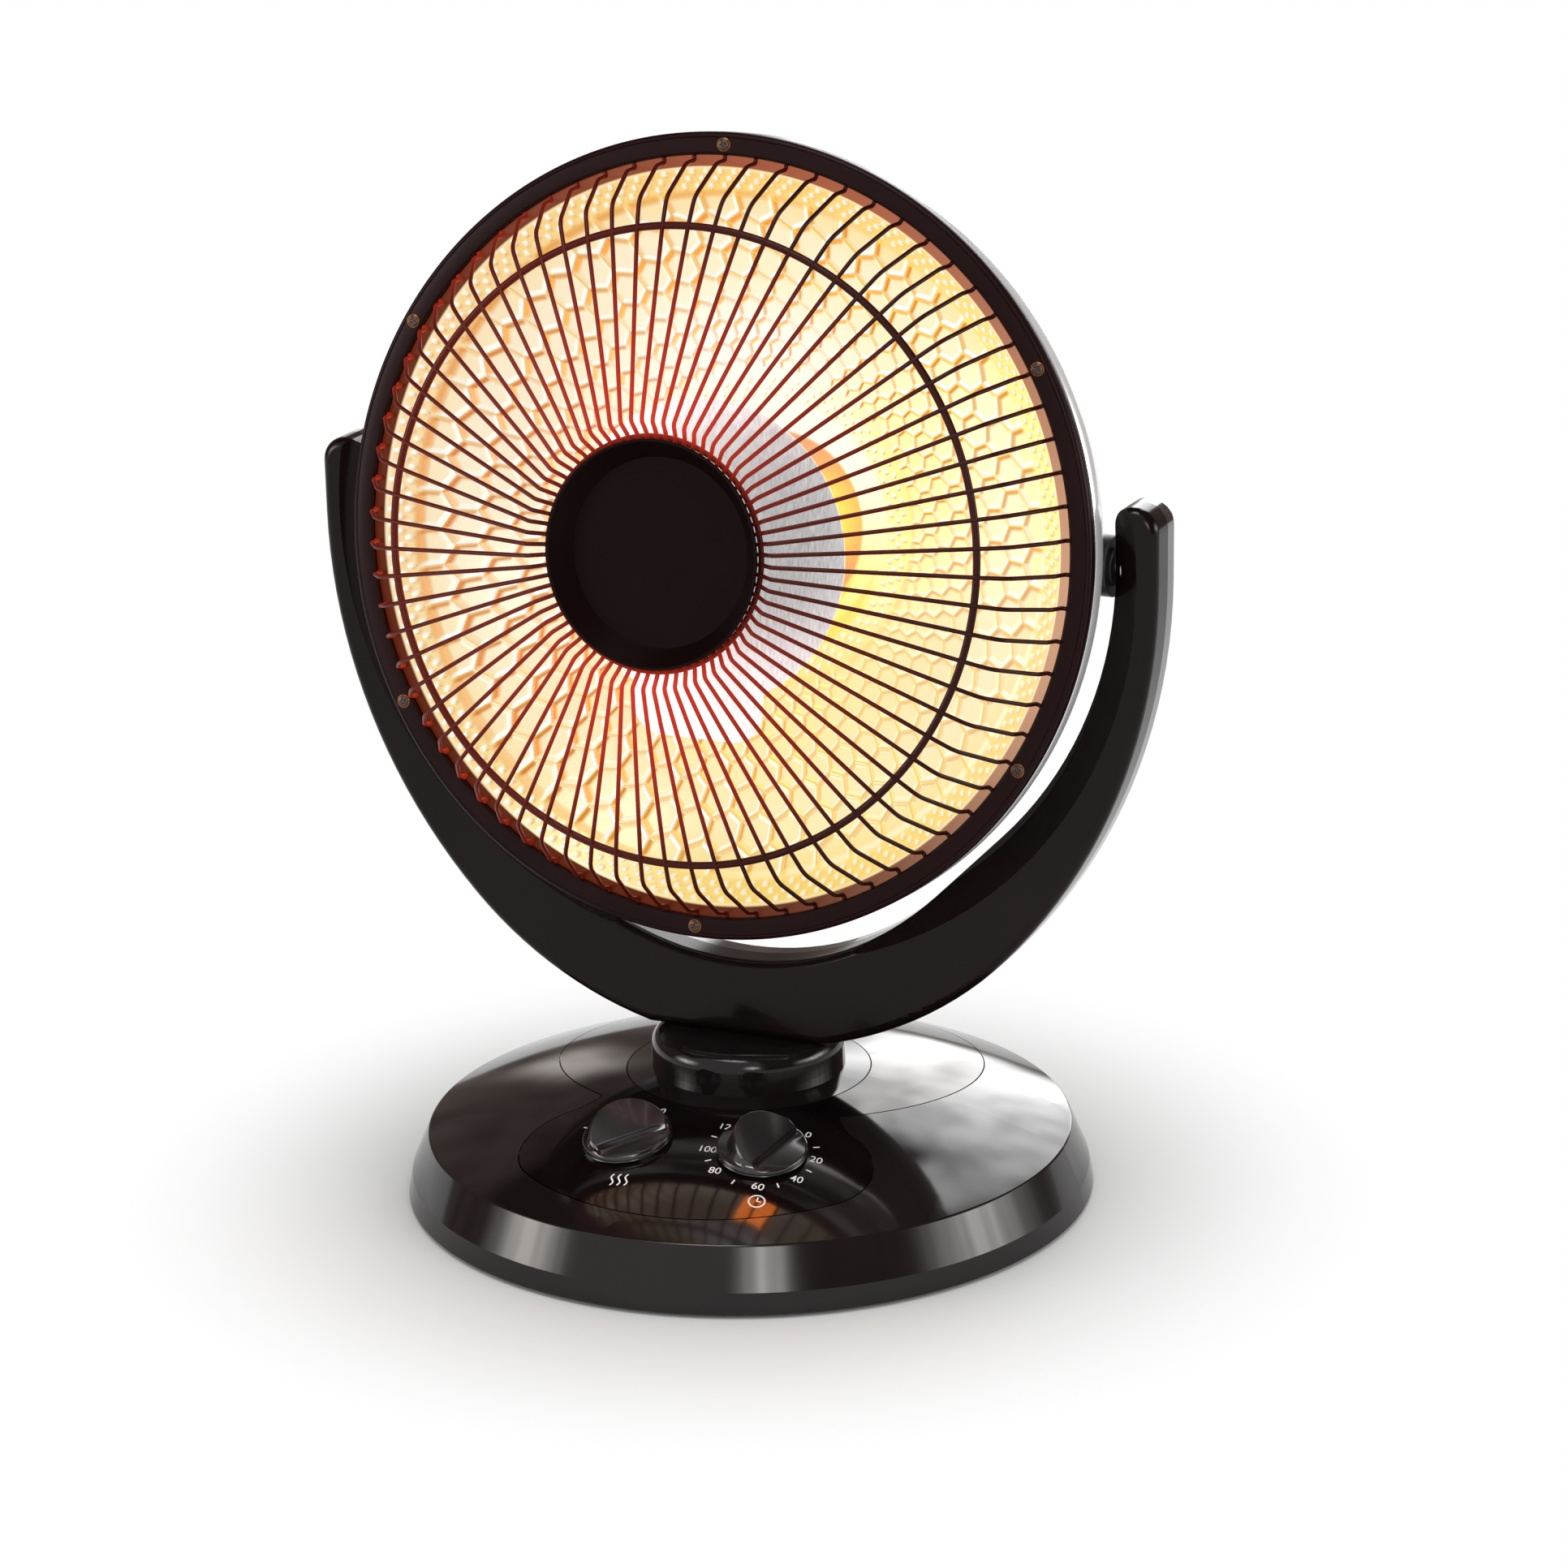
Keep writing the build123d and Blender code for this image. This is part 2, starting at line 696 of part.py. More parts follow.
def make_timer():
    body = rod(timer_r, timer_depth, -control_boss_height - seat_gap - timer_depth)
    way = rod(knob_shaft_r + shaft_gap, shaft_entry + run_gap + overrun, -control_boss_height - shaft_entry - run_gap)
    return knob_plane(1) * (body - way)


# Yoke

def crescent(inset=0.0):
    """The yoke's outline on XZ, or that outline drawn in by a wall."""
    low_r = yoke_bottom_r - inset
    low_centre = yoke_bottom_z + yoke_bottom_r
    drop = yoke_side_z - low_centre
    # the side arc is tangent to the bottom arc and upright at side height
    side_r = (drop**2 + yoke_half_width**2 - yoke_bottom_r**2) / (2 * (yoke_half_width - yoke_bottom_r))
    side_centre = yoke_half_width - side_r
    join_angle = math.atan2(drop, -side_centre)
    side_r -= inset
    join = (side_centre + side_r * math.cos(join_angle), yoke_side_z - side_r * math.sin(join_angle))
    side_mid = (
        side_centre + side_r * math.cos(join_angle / 2),
        yoke_side_z - side_r * math.sin(join_angle / 2),
    )
    low_mid_angle = (join_angle + math.pi / 2) / 2
    low_mid = (low_r * math.cos(low_mid_angle), low_centre - low_r * math.sin(low_mid_angle))
    flat_z = neck_top_z + inset
    flat_x = math.sqrt(low_r**2 - (low_centre - flat_z) ** 2)
    half = yoke_half_width - inset
    inner_r = yoke_inner_r + inset
    # the inner bottom arc shares the 45 degree tangents of the arc about the pivots
    low_inner_r = (math.sqrt(2) * yoke_inner_r - pivot_height + yoke_inner_bottom_z) / (math.sqrt(2) - 1)
    low_inner_centre = yoke_inner_bottom_z + low_inner_r
    low_inner_r += inset
    diagonal = math.sqrt(0.5)
    eighth = math.pi / 8
    tip_r = (half - inner_r) / 2
    tip_x = (half + inner_r) / 2
    tip_z = yoke_tip_z - inset - tip_r
    inner_mid = (inner_r * math.cos(eighth), pivot_height - inner_r * math.sin(eighth))
    inner_join = (inner_r * diagonal, pivot_height - inner_r * diagonal)
    low_join = (low_inner_r * diagonal, low_inner_centre - low_inner_r * diagonal)
    with BuildSketch(Plane.XZ) as plan:
        with BuildLine():
            Line((-flat_x, flat_z), (flat_x, flat_z))
            for side in (1, -1):
                ThreePointArc((side * flat_x, flat_z), (side * low_mid[0], low_mid[1]), (side * join[0], join[1]))
                ThreePointArc(
                    (side * join[0], join[1]), (side * side_mid[0], side_mid[1]), (side * half, yoke_side_z)
                )
                Line((side * half, yoke_side_z), (side * half, tip_z))
                ThreePointArc((side * half, tip_z), (side * tip_x, tip_z + tip_r), (side * inner_r, tip_z))
                Line((side * inner_r, tip_z), (side * inner_r, pivot_height))
                ThreePointArc(
                    (side * inner_r, pivot_height),
                    (side * inner_mid[0], inner_mid[1]),
                    (side * inner_join[0], inner_join[1]),
                )
                Line((side * inner_join[0], inner_join[1]), (side * low_join[0], low_join[1]))
            low_point = (0, yoke_inner_bottom_z - inset)
            ThreePointArc((low_join[0], low_join[1]), low_point, (-low_join[0], low_join[1]))
        make_face()
    return plan.sketch


def bevel_cone(grow=0.0):
    """The flare on the inner front edge of the yoke, for the tilting dish."""
    front = -yoke_front - overrun
    slope = (yoke_bevel_r - yoke_inner_r) / yoke_bevel_depth
    r_front = yoke_bevel_r + slope * overrun + grow
    r_back = yoke_inner_r + grow
    back = -yoke_front + yoke_bevel_depth
    cone = spun(outline((0, front), (r_front, front), (r_back, back), (0, back)))
    return Pos(0, 0, pivot_height - yoke_bevel_drop) * cone


def bush_block(front, back):
    """Solid web round each pivot bush, inside the hollow arm."""
    blocks = []
    width = yoke_half_width - yoke_inner_r
    for side in (-1, 1):
        block = Box(width, abs(back - front), 2 * bush_block_half)
        blocks.append(Pos(side * (yoke_inner_r + width / 2), (front + back) / 2, pivot_height) * block)
    return blocks


def pivot_ways():
    """Bores for the pins, their heads and the bushes, for both halves."""
    bush_start = yoke_inner_r + yoke_wall
    cuts = []
    for side in (-1, 1):
        pin_way = rod_x(pin_way_r, side * (yoke_inner_r - overrun), side * (bush_start + seat_gap))
        bush_way = rod_x(bush_r + seat_gap, side * bush_start, side * (bush_start + bush_length + seat_gap))
        head_way = rod_x(
            pivot_head_r + run_gap,
            side * (bush_start + bush_length),
            side * (pivot_pin_end + pivot_head_t + run_gap),
        )
        cuts += [Pos(0, 0, pivot_height) * cut for cut in (pin_way, bush_way, head_way)]
    return cuts


def make_yoke_front():
    body = extrude(crescent(), yoke_front)
    body = fillet(body.edges().group_by(Axis.Y)[0], yoke_front_round)
    body -= bevel_cone()
    hollow = extrude(crescent(yoke_wall), yoke_front - yoke_wall) - bevel_cone(yoke_wall)
    for block in bush_block(-yoke_front, overrun):
        hollow -= block
    body -= hollow
    for cut in pivot_ways():
        body -= cut
    return body


def make_yoke_rear():
    body = extrude(crescent(), -yoke_back)
    back_edges = body.edges().group_by(Axis.Y)[-1]
    body = fillet(back_edges, yoke_back_round)
    hollow = extrude(crescent(yoke_wall), -(yoke_back - yoke_wall))
    for block in bush_block(-overrun, yoke_back):
        hollow -= block
    body -= hollow
    for cut in pivot_ways():
        body -= cut
    return body


def make_pivot_bushes():
    start = yoke_inner_r + yoke_wall
    bushes = []
    for side in (-1, 1):
        bush = rod_x(bush_r, side * start, side * (start + bush_length))
        bush -= rod_x(pivot_pin_r + shaft_gap, side * (start - overrun), side * (start + bush_length + overrun))
        bushes.append(Pos(0, 0, pivot_height) * bush)
    return bushes


# Pieces on the tilt axis that belong to the dish

def make_pivot_boss(side):
    end = yoke_inner_r - pivot_gap - washer_t - seat_gap
    boss = rod_x(pivot_boss_r, side * (shell_side_r - pivot_boss_r), side * end)
    boss -= Pos(0, -dish_ahead, -dish_drop) * shell_form(-seat_gap)
    boss -= rod_x(pivot_pin_r + pivot_boss_bore_gap, side * pivot_pin_inside, side * (end + overrun))
    return at_pivot(boss)


def make_friction_washers():
    end = yoke_inner_r - pivot_gap
    washers = []
    for side in (-1, 1):
        washer = rod_x(washer_r, side * (end - washer_t), side * end)
        washer -= rod_x(pivot_pin_r + seat_gap, side * (end - overrun), side * (end + overrun))
        washers.append(at_pivot(washer))
    return washers


def make_pivot_pins():
    pins = []
    end = pivot_pin_end
    nut_end = shell_side_r - shell_wall - seat_gap
    for side in (-1, 1):
        pin = rod_x(pivot_pin_r, side * pivot_pin_inside, side * end)
        pin += rod_x(pivot_head_r, side * end, side * (end + pivot_head_t))
        pin += rod_x(pivot_head_r, side * (nut_end - pivot_head_t), side * nut_end)
        pins.append(at_pivot(pin))
    return pins


# Dish

def shell_form(inset=0.0, start=shell_start):
    """The rear shell's outer form as a solid, or drawn in by a wall."""
    shoulder, side, bulge, slope, back = [(shell_r * r, shell_back_s * s) for r, s in shell_shares]
    points = [
        (shell_r - inset, shell_straight),
        (shoulder[0] - inset, shoulder[1]),
        (side[0] - inset, side[1]),
        (bulge[0] - inset, bulge[1] - inset / 2),
        (slope[0], slope[1] - inset),
        (back[0], back[1] - inset),
    ]
    with BuildSketch() as profile:
        with BuildLine():
            Line((0, start), (shell_r - inset, start))
            Line((shell_r - inset, start), points[0])
            Spline(*points)
            Line(points[-1], (0, shell_back_s - inset))
            Line((0, shell_back_s - inset), (0, start))
        make_face()
    return spun(profile.sketch)


def make_rear_shell():
    shell = shell_form() - shell_form(shell_wall, shell_start - overrun)
    flange_back = shell_start + shell_flange_t
    flange = rod_y(shell_r - shell_wall / 2, shell_start, flange_back)
    flange -= rod_y(shell_flange_inner_r, shell_start - overrun, flange_back + overrun)
    shell += flange
    hole = rod_y(screw_r + screw_bore_gap, shell_start - overrun, flange_back + overrun)
    for cut in around_y(screw_count, screw_circle_r, hole):
        shell -= cut
    pin_hole = rod_x(pivot_pin_r + screw_bore_gap, -shell_r - overrun, shell_r + overrun)
    shell -= Pos(0, dish_ahead, dish_drop) * pin_hole
    slot = Pos(0, shell_slope_s, 0) * Box(vent_width, shell_slope_s - shell_side_s, vent_length)
    for cut in around_y(vent_count, vent_place, slot):
        shell -= cut
    return in_dish(shell)


def make_bezel():
    front = -bezel_face
    face_back = front + bezel_face_t
    rebate = front + bezel_lip_t
    outer_wall_r = bezel_r - bezel_wall
    with BuildSketch() as profile:
        with BuildLine():
            Polyline(
                (bezel_inner_r, front), (bezel_r, front), (bezel_r, bezel_depth), (outer_wall_r, bezel_depth),
                (outer_wall_r, face_back), (bezel_rebate_r, face_back), (bezel_rebate_r, rebate),
                (bezel_inner_r, rebate), close=True,
            )
        make_face()
        corner = [v for v in profile.vertices() if abs(v.Y - front) < seat_gap and v.X > bezel_rebate_r]
        fillet(corner, bezel_round)
    bezel = spun(profile.sketch)
    hole = rod_y(screw_r + screw_bore_gap, front - overrun, face_back + overrun)
    recess = rod_y(screw_recess_r, front - overrun, front + screw_head_t + seat_gap)
    for cut in around_y(screw_count, screw_circle_r, hole + recess):
        bezel -= cut
    return in_dish(bezel)


def make_bezel_screws():
    front = -bezel_face
    screw = rod_y(screw_r, front, front + screw_length) + rod_y(screw_head_r, front, front + screw_head_t)
    return [in_dish(s) for s in around_y(screw_count, screw_circle_r, screw)]


def dish_s(radius):
    """Depth of the reflecting surface behind the bezel plane."""
    depth = reflector_depth - reflector_flange_s
    return reflector_flange_s + depth * (1 - (radius / reflector_r) ** 2)


def make_reflector():
    step_s = dish_s(reflector_step_r)
    mid_r = (reflector_r + reflector_step_r) / 2
    plate_s = step_s + reflector_step_height
    back = reflector_t
    front = reflector_flange_s
    with BuildSketch() as profile:
        with BuildLine():
            Polyline((reflector_flange_r, front + back), (reflector_flange_r, front), (reflector_r, front))
            ThreePointArc((reflector_r, front), (mid_r, dish_s(mid_r)), (reflector_step_r, step_s))
            Polyline(
                (reflector_step_r, step_s), (reflector_plate_r, plate_s), (reflector_hole_r, plate_s),
                (reflector_hole_r, plate_s + back), (reflector_plate_r, plate_s + back),
                (reflector_step_r, step_s + back),
            )
            ThreePointArc(
                (reflector_step_r, step_s + back), (mid_r, dish_s(mid_r) + back), (reflector_r, front + back)
            )
            Line((reflector_r, front + back), (reflector_flange_r, front + back))
        make_face()
    dish = spun(profile.sketch)
    hole = rod_y(screw_r + screw_bore_gap, -overrun, front + overrun)
    for cut in around_y(screw_count, screw_circle_r, hole):
        dish -= cut
    return in_dish(dish)


def guard_wire():
    """One radial wire, drawn in the plane X = 0 from the bezel to the hub."""
    path = Polyline(
        (0, 0, guard_foot_r),
        (0, 0, guard_rise_r),
        (0, -guard_rim_ahead, guard_rim_r),
        (0, -guard_knee_ahead, guard_knee_r),
        (0, -ring_ahead, ring_r),
        (0, -guard_joggle_ahead, guard_joggle_r),
        (0, -guard_end_ahead, guard_end_r),
    )
    start = Plane(origin=path @ 0, x_dir=(1, 0, 0), z_dir=path % 0)
    return sweep(start * RegularPolygon(wire_r, 6), path, transition=Transition.RIGHT)


def make_guard():
    wires = around_y(wire_count, 0, guard_wire())
    ring = spun(Pos(ring_r, wire_r - ring_ahead) * RegularPolygon(ring_wire_r, 8))
    back = -guard_end_ahead + wire_r / 2 + hub_ring_t
    collar = rod_y(hub_ring_outer_r, back - hub_ring_t, back)
    collar -= rod_y(guard_end_r, back - hub_ring_t - overrun, back + overrun)
    return in_dish(ring.fuse(collar, *wires))


def make_hub_cap():
    front = -hub_front
    floor = front + hub_recess
    slope = hub_wall / 2
    return in_dish(spun(outline(
        (hub_r, front),
        (hub_r, front + hub_wall),
        (hub_r - hub_wall - slope, front + hub_wall),
        (hub_floor_r, floor + hub_wall),
        (0, floor + hub_wall),
        (0, floor),
        (hub_floor_r - slope, floor),
        (hub_r - hub_wall, front),
    )))


# Heating element

def make_element_holder():
    plate_s = dish_s(reflector_step_r) + reflector_step_height + reflector_t
    holder = rod_y(holder_r, plate_s + seat_gap, plate_s + holder_depth)
    holder += rod_y(reflector_hole_r - seat_gap, plate_s - reflector_t - seat_gap, plate_s + holder_depth / 2)
    holder -= rod_y(rod_r + shaft_gap, plate_s - overrun, plate_s + holder_depth + overrun)
    return in_dish(holder)


def holder_front():
    return dish_s(reflector_step_r) + reflector_step_height - seat_gap


def make_core():
    back = holder_front()
    core = rod_y(core_r, core_front, back)
    return in_dish(core - rod_y(rod_r + shaft_gap, core_front - overrun, back + overrun))


def make_coil():
    """Resistance wire wound on the core, each half turn one tilted half circle."""
    radius = core_r + shaft_gap + coil_wire_r
    coil_start = holder_front() - coil_back_gap
    half_pitch = (coil_start - core_front - coil_front_gap) / (2 * coil_turns)
    bulge = math.hypot(radius, half_pitch / 2)
    arcs = []
    for i in range(2 * coil_turns):
        side = 1 if i % 2 == 0 else -1
        start = (side * radius, coil_start - i * half_pitch, 0)
        middle = (0, coil_start - (i + 0.5) * half_pitch, side * bulge)
        end = (-side * radius, coil_start - (i + 1) * half_pitch, 0)
        arcs.append(ThreePointArc(start, middle, end))
    path = Wire(arcs)
    section = Plane(origin=path @ 0, z_dir=path % 0) * RegularPolygon(coil_wire_r, 6)
    return in_dish(sweep(section, path))


def make_centre_rod():
    back = holder_front() + seat_gap + reflector_t + holder_depth + rod_tail
    return in_dish(rod_y(rod_r, -shield_place - nut_t / 2, back))


def make_heat_shield():
    disc = Pos(0, -shield_drop) * Circle(shield_r)
    tab = Pos(0, -tab_reach / 2 - shield_drop) * RectangleRounded(2 * tab_half_width, tab_reach, tab_round)
    plan = disc + tab - Circle(rod_r + shaft_gap)
    sheet = extrude(Plane.XZ * plan, shield_t)
    return in_dish(Pos(0, -shield_place + shield_t, 0) * sheet)


def make_cap_nut():
    front = -shield_place - nut_t
    nut = rod_y(nut_r, front, -shield_place - seat_gap)
    return in_dish(nut - rod_y(rod_r + shaft_gap, front + nut_t / 4, -shield_place + overrun))


def make_spacer_tube():
    tube = rod_y(rod_r + spacer_wall, -shield_place + shield_t + seat_gap, core_front - seat_gap)
    return in_dish(tube - rod_y(rod_r + shaft_gap, -shield_place - overrun, core_front + overrun))


def make_thermal_cutout():
    seat = dish_s(cutout_place) + reflector_t + cutout_stand
    return in_dish(Pos(0, 0, cutout_place) * rod_y(cutout_r, seat, seat + cutout_t))


def make_terminal_cover():
    cover = rod_y(cover_r, shell_back_s + seat_gap, shell_back_s + cover_t)
    cover = fillet(cover.edges().filter_by(GeomType.CIRCLE).group_by(Axis.Y)[-1], wall)
    return in_dish(cover)


nodes = {
    "base_shell": lambda: in_base(make_base_shell()),
    "control_deck": lambda: in_base(make_deck()),
    "bottom_plate": lambda: in_base(make_bottom_plate()),
    "plate_screws": lambda: [in_base(s) for s in make_plate_screws()],
    "rubber_feet": lambda: [in_base(s) for s in make_feet()],
    "ballast": lambda: in_base(make_ballast()),
    "bearing_tower": lambda: in_base(make_bearing_tower()),
    "thrust_washer": lambda: in_base(make_thrust_washer()),
    "tip_switch": lambda: in_base(make_tip_switch()),
    "tip_plunger": lambda: in_base(make_tip_plunger()),
    "gearmotor": lambda: in_base(make_gearmotor()),
    "terminal_block": lambda: in_base(make_terminal_block()),
    "cord_gland": lambda: in_base(make_cord_gland()),
    "heat_knob": lambda: in_base(make_knob(-1, heat_knob_turn)),
    "heat_shaft": lambda: in_base(make_knob_shaft(-1)),
    "heat_switch": lambda: in_base(make_heat_switch()),
    "timer_knob": lambda: in_base(make_knob(1, timer_knob_turn)),
    "timer_shaft": lambda: in_base(make_knob_shaft(1)),
    "timer": lambda: in_base(make_timer()),
    "neck": make_neck,
    "retaining_ring": make_retaining_ring,
    "yoke_front_cover": make_yoke_front,
    "yoke_rear_cover": make_yoke_rear,
    "pivot_bushes": make_pivot_bushes,
    "pivot_pins": make_pivot_pins,
    "pivot_boss_left": lambda: make_pivot_boss(-1),
    "pivot_boss_right": lambda: make_pivot_boss(1),
    "friction_washers": make_friction_washers,
    "rear_shell": make_rear_shell,
    "bezel": make_bezel,
    "bezel_screws": make_bezel_screws,
    "reflector": make_reflector,
    "guard": make_guard,
    "hub_cap": make_hub_cap,
    "element_holder": make_element_holder,
    "ceramic_core": make_core,
    "heating_coil": make_coil,
    "centre_rod": make_centre_rod,
    "spacer_tube": make_spacer_tube,
    "heat_shield": make_heat_shield,
    "cap_nut": make_cap_nut,
    "thermal_cutout": make_thermal_cutout,
    "terminal_cover": make_terminal_cover,
}

os.makedirs("parts", exist_ok=True)
for name, make in nodes.items():
    piece = make()
    shape = Compound(children=piece) if isinstance(piece, list) else piece
    export_step(shape, f"parts/{name}.step")
    print(name, round(shape.volume))
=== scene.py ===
import bpy
import math
import numpy as np
from mathutils import Matrix, Vector


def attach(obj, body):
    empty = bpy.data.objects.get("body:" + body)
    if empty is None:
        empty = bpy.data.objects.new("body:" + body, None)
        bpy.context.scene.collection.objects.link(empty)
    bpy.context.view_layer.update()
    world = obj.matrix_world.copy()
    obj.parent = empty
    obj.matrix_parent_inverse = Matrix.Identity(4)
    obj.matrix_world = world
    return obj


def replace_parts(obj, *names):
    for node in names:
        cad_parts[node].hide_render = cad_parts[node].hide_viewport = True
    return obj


# Dish heater on a pale studio sweep. Lengths are in metres, +Z up, the dish looks along -Y.

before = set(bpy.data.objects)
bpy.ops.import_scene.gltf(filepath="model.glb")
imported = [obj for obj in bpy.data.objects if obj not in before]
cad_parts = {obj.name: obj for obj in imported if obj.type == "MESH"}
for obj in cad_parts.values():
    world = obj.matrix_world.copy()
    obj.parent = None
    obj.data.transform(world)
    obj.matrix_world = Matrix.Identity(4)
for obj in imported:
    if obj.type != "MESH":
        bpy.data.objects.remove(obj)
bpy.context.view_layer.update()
print("stage: frame loaded")

mm = 0.001
fullTurn = 2 * math.pi


# colours and nodes

def toLinear(hexColour):
    # sRGB hex to linear RGBA
    channels = [int(hexColour[i:i + 2], 16) / 255 for i in (1, 3, 5)]
    return [c / 12.92 if c <= 0.04045 else ((c + 0.055) / 1.055) ** 2.4 for c in channels] + [1.0]


def addNode(tree, kind, settings=None, links=None):
    # settings are sockets, properties or the stops of a ramp, links are {socket: (node, output)}
    node = tree.nodes.new(kind)
    for key, value in (settings or {}).items():
        if key == "stops":
            for stop, (place, colour) in zip(node.color_ramp.elements, value):
                stop.position = place
                stop.color = toLinear(colour)
        elif isinstance(key, int) or key in node.inputs:
            node.inputs[key].default_value = value
        else:
            setattr(node, key, value)
    for key, source in (links or {}).items():
        tree.links.new(source[0].outputs[source[1]], node.inputs[key])
    return node


def startMaterial(name):
    material = bpy.data.materials.new(name)
    material.use_nodes = True
    material.node_tree.nodes.clear()
    return material, material.node_tree


def finishMaterial(material, shader):
    addNode(material.node_tree, "ShaderNodeOutputMaterial", links={"Surface": (shader, 0)})
    return material


def patternScale(sizeMm):
    # noise scale for a pattern whose repeat is this many millimetres
    return 1 / (sizeMm * mm)


# families of finish: the larger noise, pattern, shifts the tint along its ramp and the roughness between two
# factors; the finer one, grain, breaks the mirror; what would be finer than a pixel is drawn coarser to show
plastic = {
    "detail": 3.0, "ramp": (0.35, 0.68), "gloss": (0.8, 1.3), "grainDetail": 2.0, "grainDepth": 0.05 * mm,
    "ior": 1.5}
metal = {
    "detail": 4.0, "ramp": (0.3, 0.7), "gloss": (0.75, 1.3), "grainDetail": 4.0, "grainDepth": 0.05 * mm,
    "metallic": 1.0}
paint = {
    "patternMm": 40, "detail": 2.0, "ramp": (0.0, 1.0), "gloss": (0.85, 1.2), "grainDetail": 4.0,
    "grainDepth": 0.08 * mm, "ior": 1.45}
shaderSockets = {
    "metallic": "Metallic", "ior": "IOR", "specular": "Specular IOR Level", "specularTint": "Specular Tint",
    "coat": "Coat Weight", "glow": "Emission Strength"}


def surface(name, look):
    material, tree = startMaterial(name)
    place = (addNode(tree, "ShaderNodeTexCoord"), "Object")
    if "stretch" in look:
        place = (addNode(tree, "ShaderNodeMapping", {"Scale": look["stretch"]}, {"Vector": place}), "Vector")
    pattern = addNode(tree, "ShaderNodeTexNoise",
                      {"Scale": patternScale(look["patternMm"]), "Detail": look["detail"]}, {"Vector": place})
    tint = addNode(tree, "ShaderNodeValToRGB", {"stops": zip(look["ramp"], (look["dark"], look["light"]))},
                   {"Fac": (pattern, "Fac")})
    low, high = look["gloss"]
    gloss = addNode(tree, "ShaderNodeMapRange",
                    {"To Min": look["roughness"] * low, "To Max": look["roughness"] * high},
                    {"Value": (pattern, "Fac")})
    links = {"Base Color": (tint, "Color"), "Roughness": (gloss, "Result")}
    if "bump" in look:
        grainMm = look.get("grainMm", look["patternMm"])
        grain = addNode(tree, "ShaderNodeTexNoise",
                        {"Scale": patternScale(grainMm), "Detail": look["grainDetail"]}, {"Vector": place})
        bump = addNode(tree, "ShaderNodeBump", {"Strength": look["bump"], "Distance": look["grainDepth"]},
                       {"Height": (grain, "Fac")})
        links["Normal"] = (bump, "Normal")
    if "layer" in look:
        layer = addNode(tree, "ShaderNodeAttribute", {"attribute_name": look["layer"]})
        links["Emission Color"] = (layer, "Color")
    elif "glow" in look:
        links["Emission Color"] = (tint, "Color")
    settings = {socket: look[key] for key, socket in shaderSockets.items() if key in look}
    return finishMaterial(material, addNode(tree, "ShaderNodeBsdfPrincipled", settings, links))


def glowing(name, look):
    # a hot piece gives its own light, in mottled tints; the ceramic that the winding lights through gets such
    # a glow as painted light
    material, tree = startMaterial(name)
    place = addNode(tree, "ShaderNodeTexCoord")
    cloud = addNode(tree, "ShaderNodeTexNoise", {"Scale": patternScale(look["grainMm"]), "Detail": 2.0},
                    {"Vector": (place, "Object")})
    tint = addNode(tree, "ShaderNodeMix",
                   {"data_type": "RGBA", "A": toLinear(look["dark"]), "B": toLinear(look["light"])},
                   {"Factor": (cloud, "Fac")})
    shader = addNode(tree, "ShaderNodeBsdfPrincipled",
                     {"Roughness": 0.5, "Emission Strength": look["strength"]},
                     {"Base Color": (tint, 2), "Emission Color": (tint, 2)})
    return finishMaterial(material, shader)


# gloss ABS from a polished tool: nearly black, the eye gets what it mirrors
shellAbs = surface("polishedGraphiteAbs", plastic | {
    "dark": "#171112", "light": "#1d1616", "patternMm": 80, "grainMm": 2.0, "roughness": 0.08, "bump": 0.02,
    "specular": 0.27})
# the same tool finish in a deeper black, for the inlaid deck
deckAbs = surface("polishedBlackAbs", plastic | {
    "dark": "#0b0607", "light": "#110a0b", "patternMm": 50, "grainMm": 1.5, "roughness": 0.07, "bump": 0.015,
    "specular": 0.26, "specularTint": toLinear("#ffeee8")})
# gloss ABS with a brown cast and a softer mirror
yokeFrontAbs = surface("brownBlackGlossAbs", plastic | {
    "dark": "#120a0a", "light": "#190e0d", "patternMm": 60, "grainMm": 1.2, "roughness": 0.15, "bump": 0.04,
    "specular": 0.12, "coat": 0.06})
# graphite ABS, lacquered: clear highlights along the edge of the rear cover
yokeRearAbs = surface("graphiteGlossAbs", plastic | {
    "dark": "#1a1618", "light": "#231e21", "patternMm": 60, "grainMm": 1.2, "roughness": 0.12, "bump": 0.04,
    "coat": 0.6})
# small gloss mouldings: bright thin lines on their ridges
knobAbs = surface("knobGlossAbs", plastic | {
    "dark": "#161112", "light": "#1d1718", "patternMm": 18, "grainMm": 0.6, "roughness": 0.1, "bump": 0.02,
    "specular": 0.55, "coat": 0.2})
# moulded nylon, uncoloured: dull and creamy
plainNylon = surface("naturalNylon", plastic | {
    "dark": "#d9d4c4", "light": "#e8e4d6", "patternMm": 12, "grainMm": 0.5, "roughness": 0.45, "bump": 0.1})
# moulded nylon from an etched tool: even dark grey with a faint grain
innerPlastic = surface("matteBlackNylon", plastic | {
    "dark": "#151414", "light": "#1f1d1d", "patternMm": 10, "grainMm": 0.4, "roughness": 0.4, "bump": 0.25})
# moulded rubber: hardly any mirror
footRubber = surface("footRubber", plastic | {
    "dark": "#141414", "light": "#1d1d1d", "patternMm": 8, "grainMm": 0.3, "roughness": 0.75, "bump": 0.4})
# pressed and fired steatite: chalky, warm white
firedCeramic = surface("steatiteCeramic", plastic | {
    "dark": "#cdbfae", "light": "#e2d8c9", "patternMm": 9, "grainMm": 0.4, "roughness": 0.5, "bump": 0.3})
# pad-printed ink: flat, slightly dull white
whiteInk = surface("padPrintedWhite", plastic | {
    "dark": "#dcdad6", "light": "#eceae6", "patternMm": 6, "grainMm": 0.3, "roughness": 0.5, "bump": 0.1})
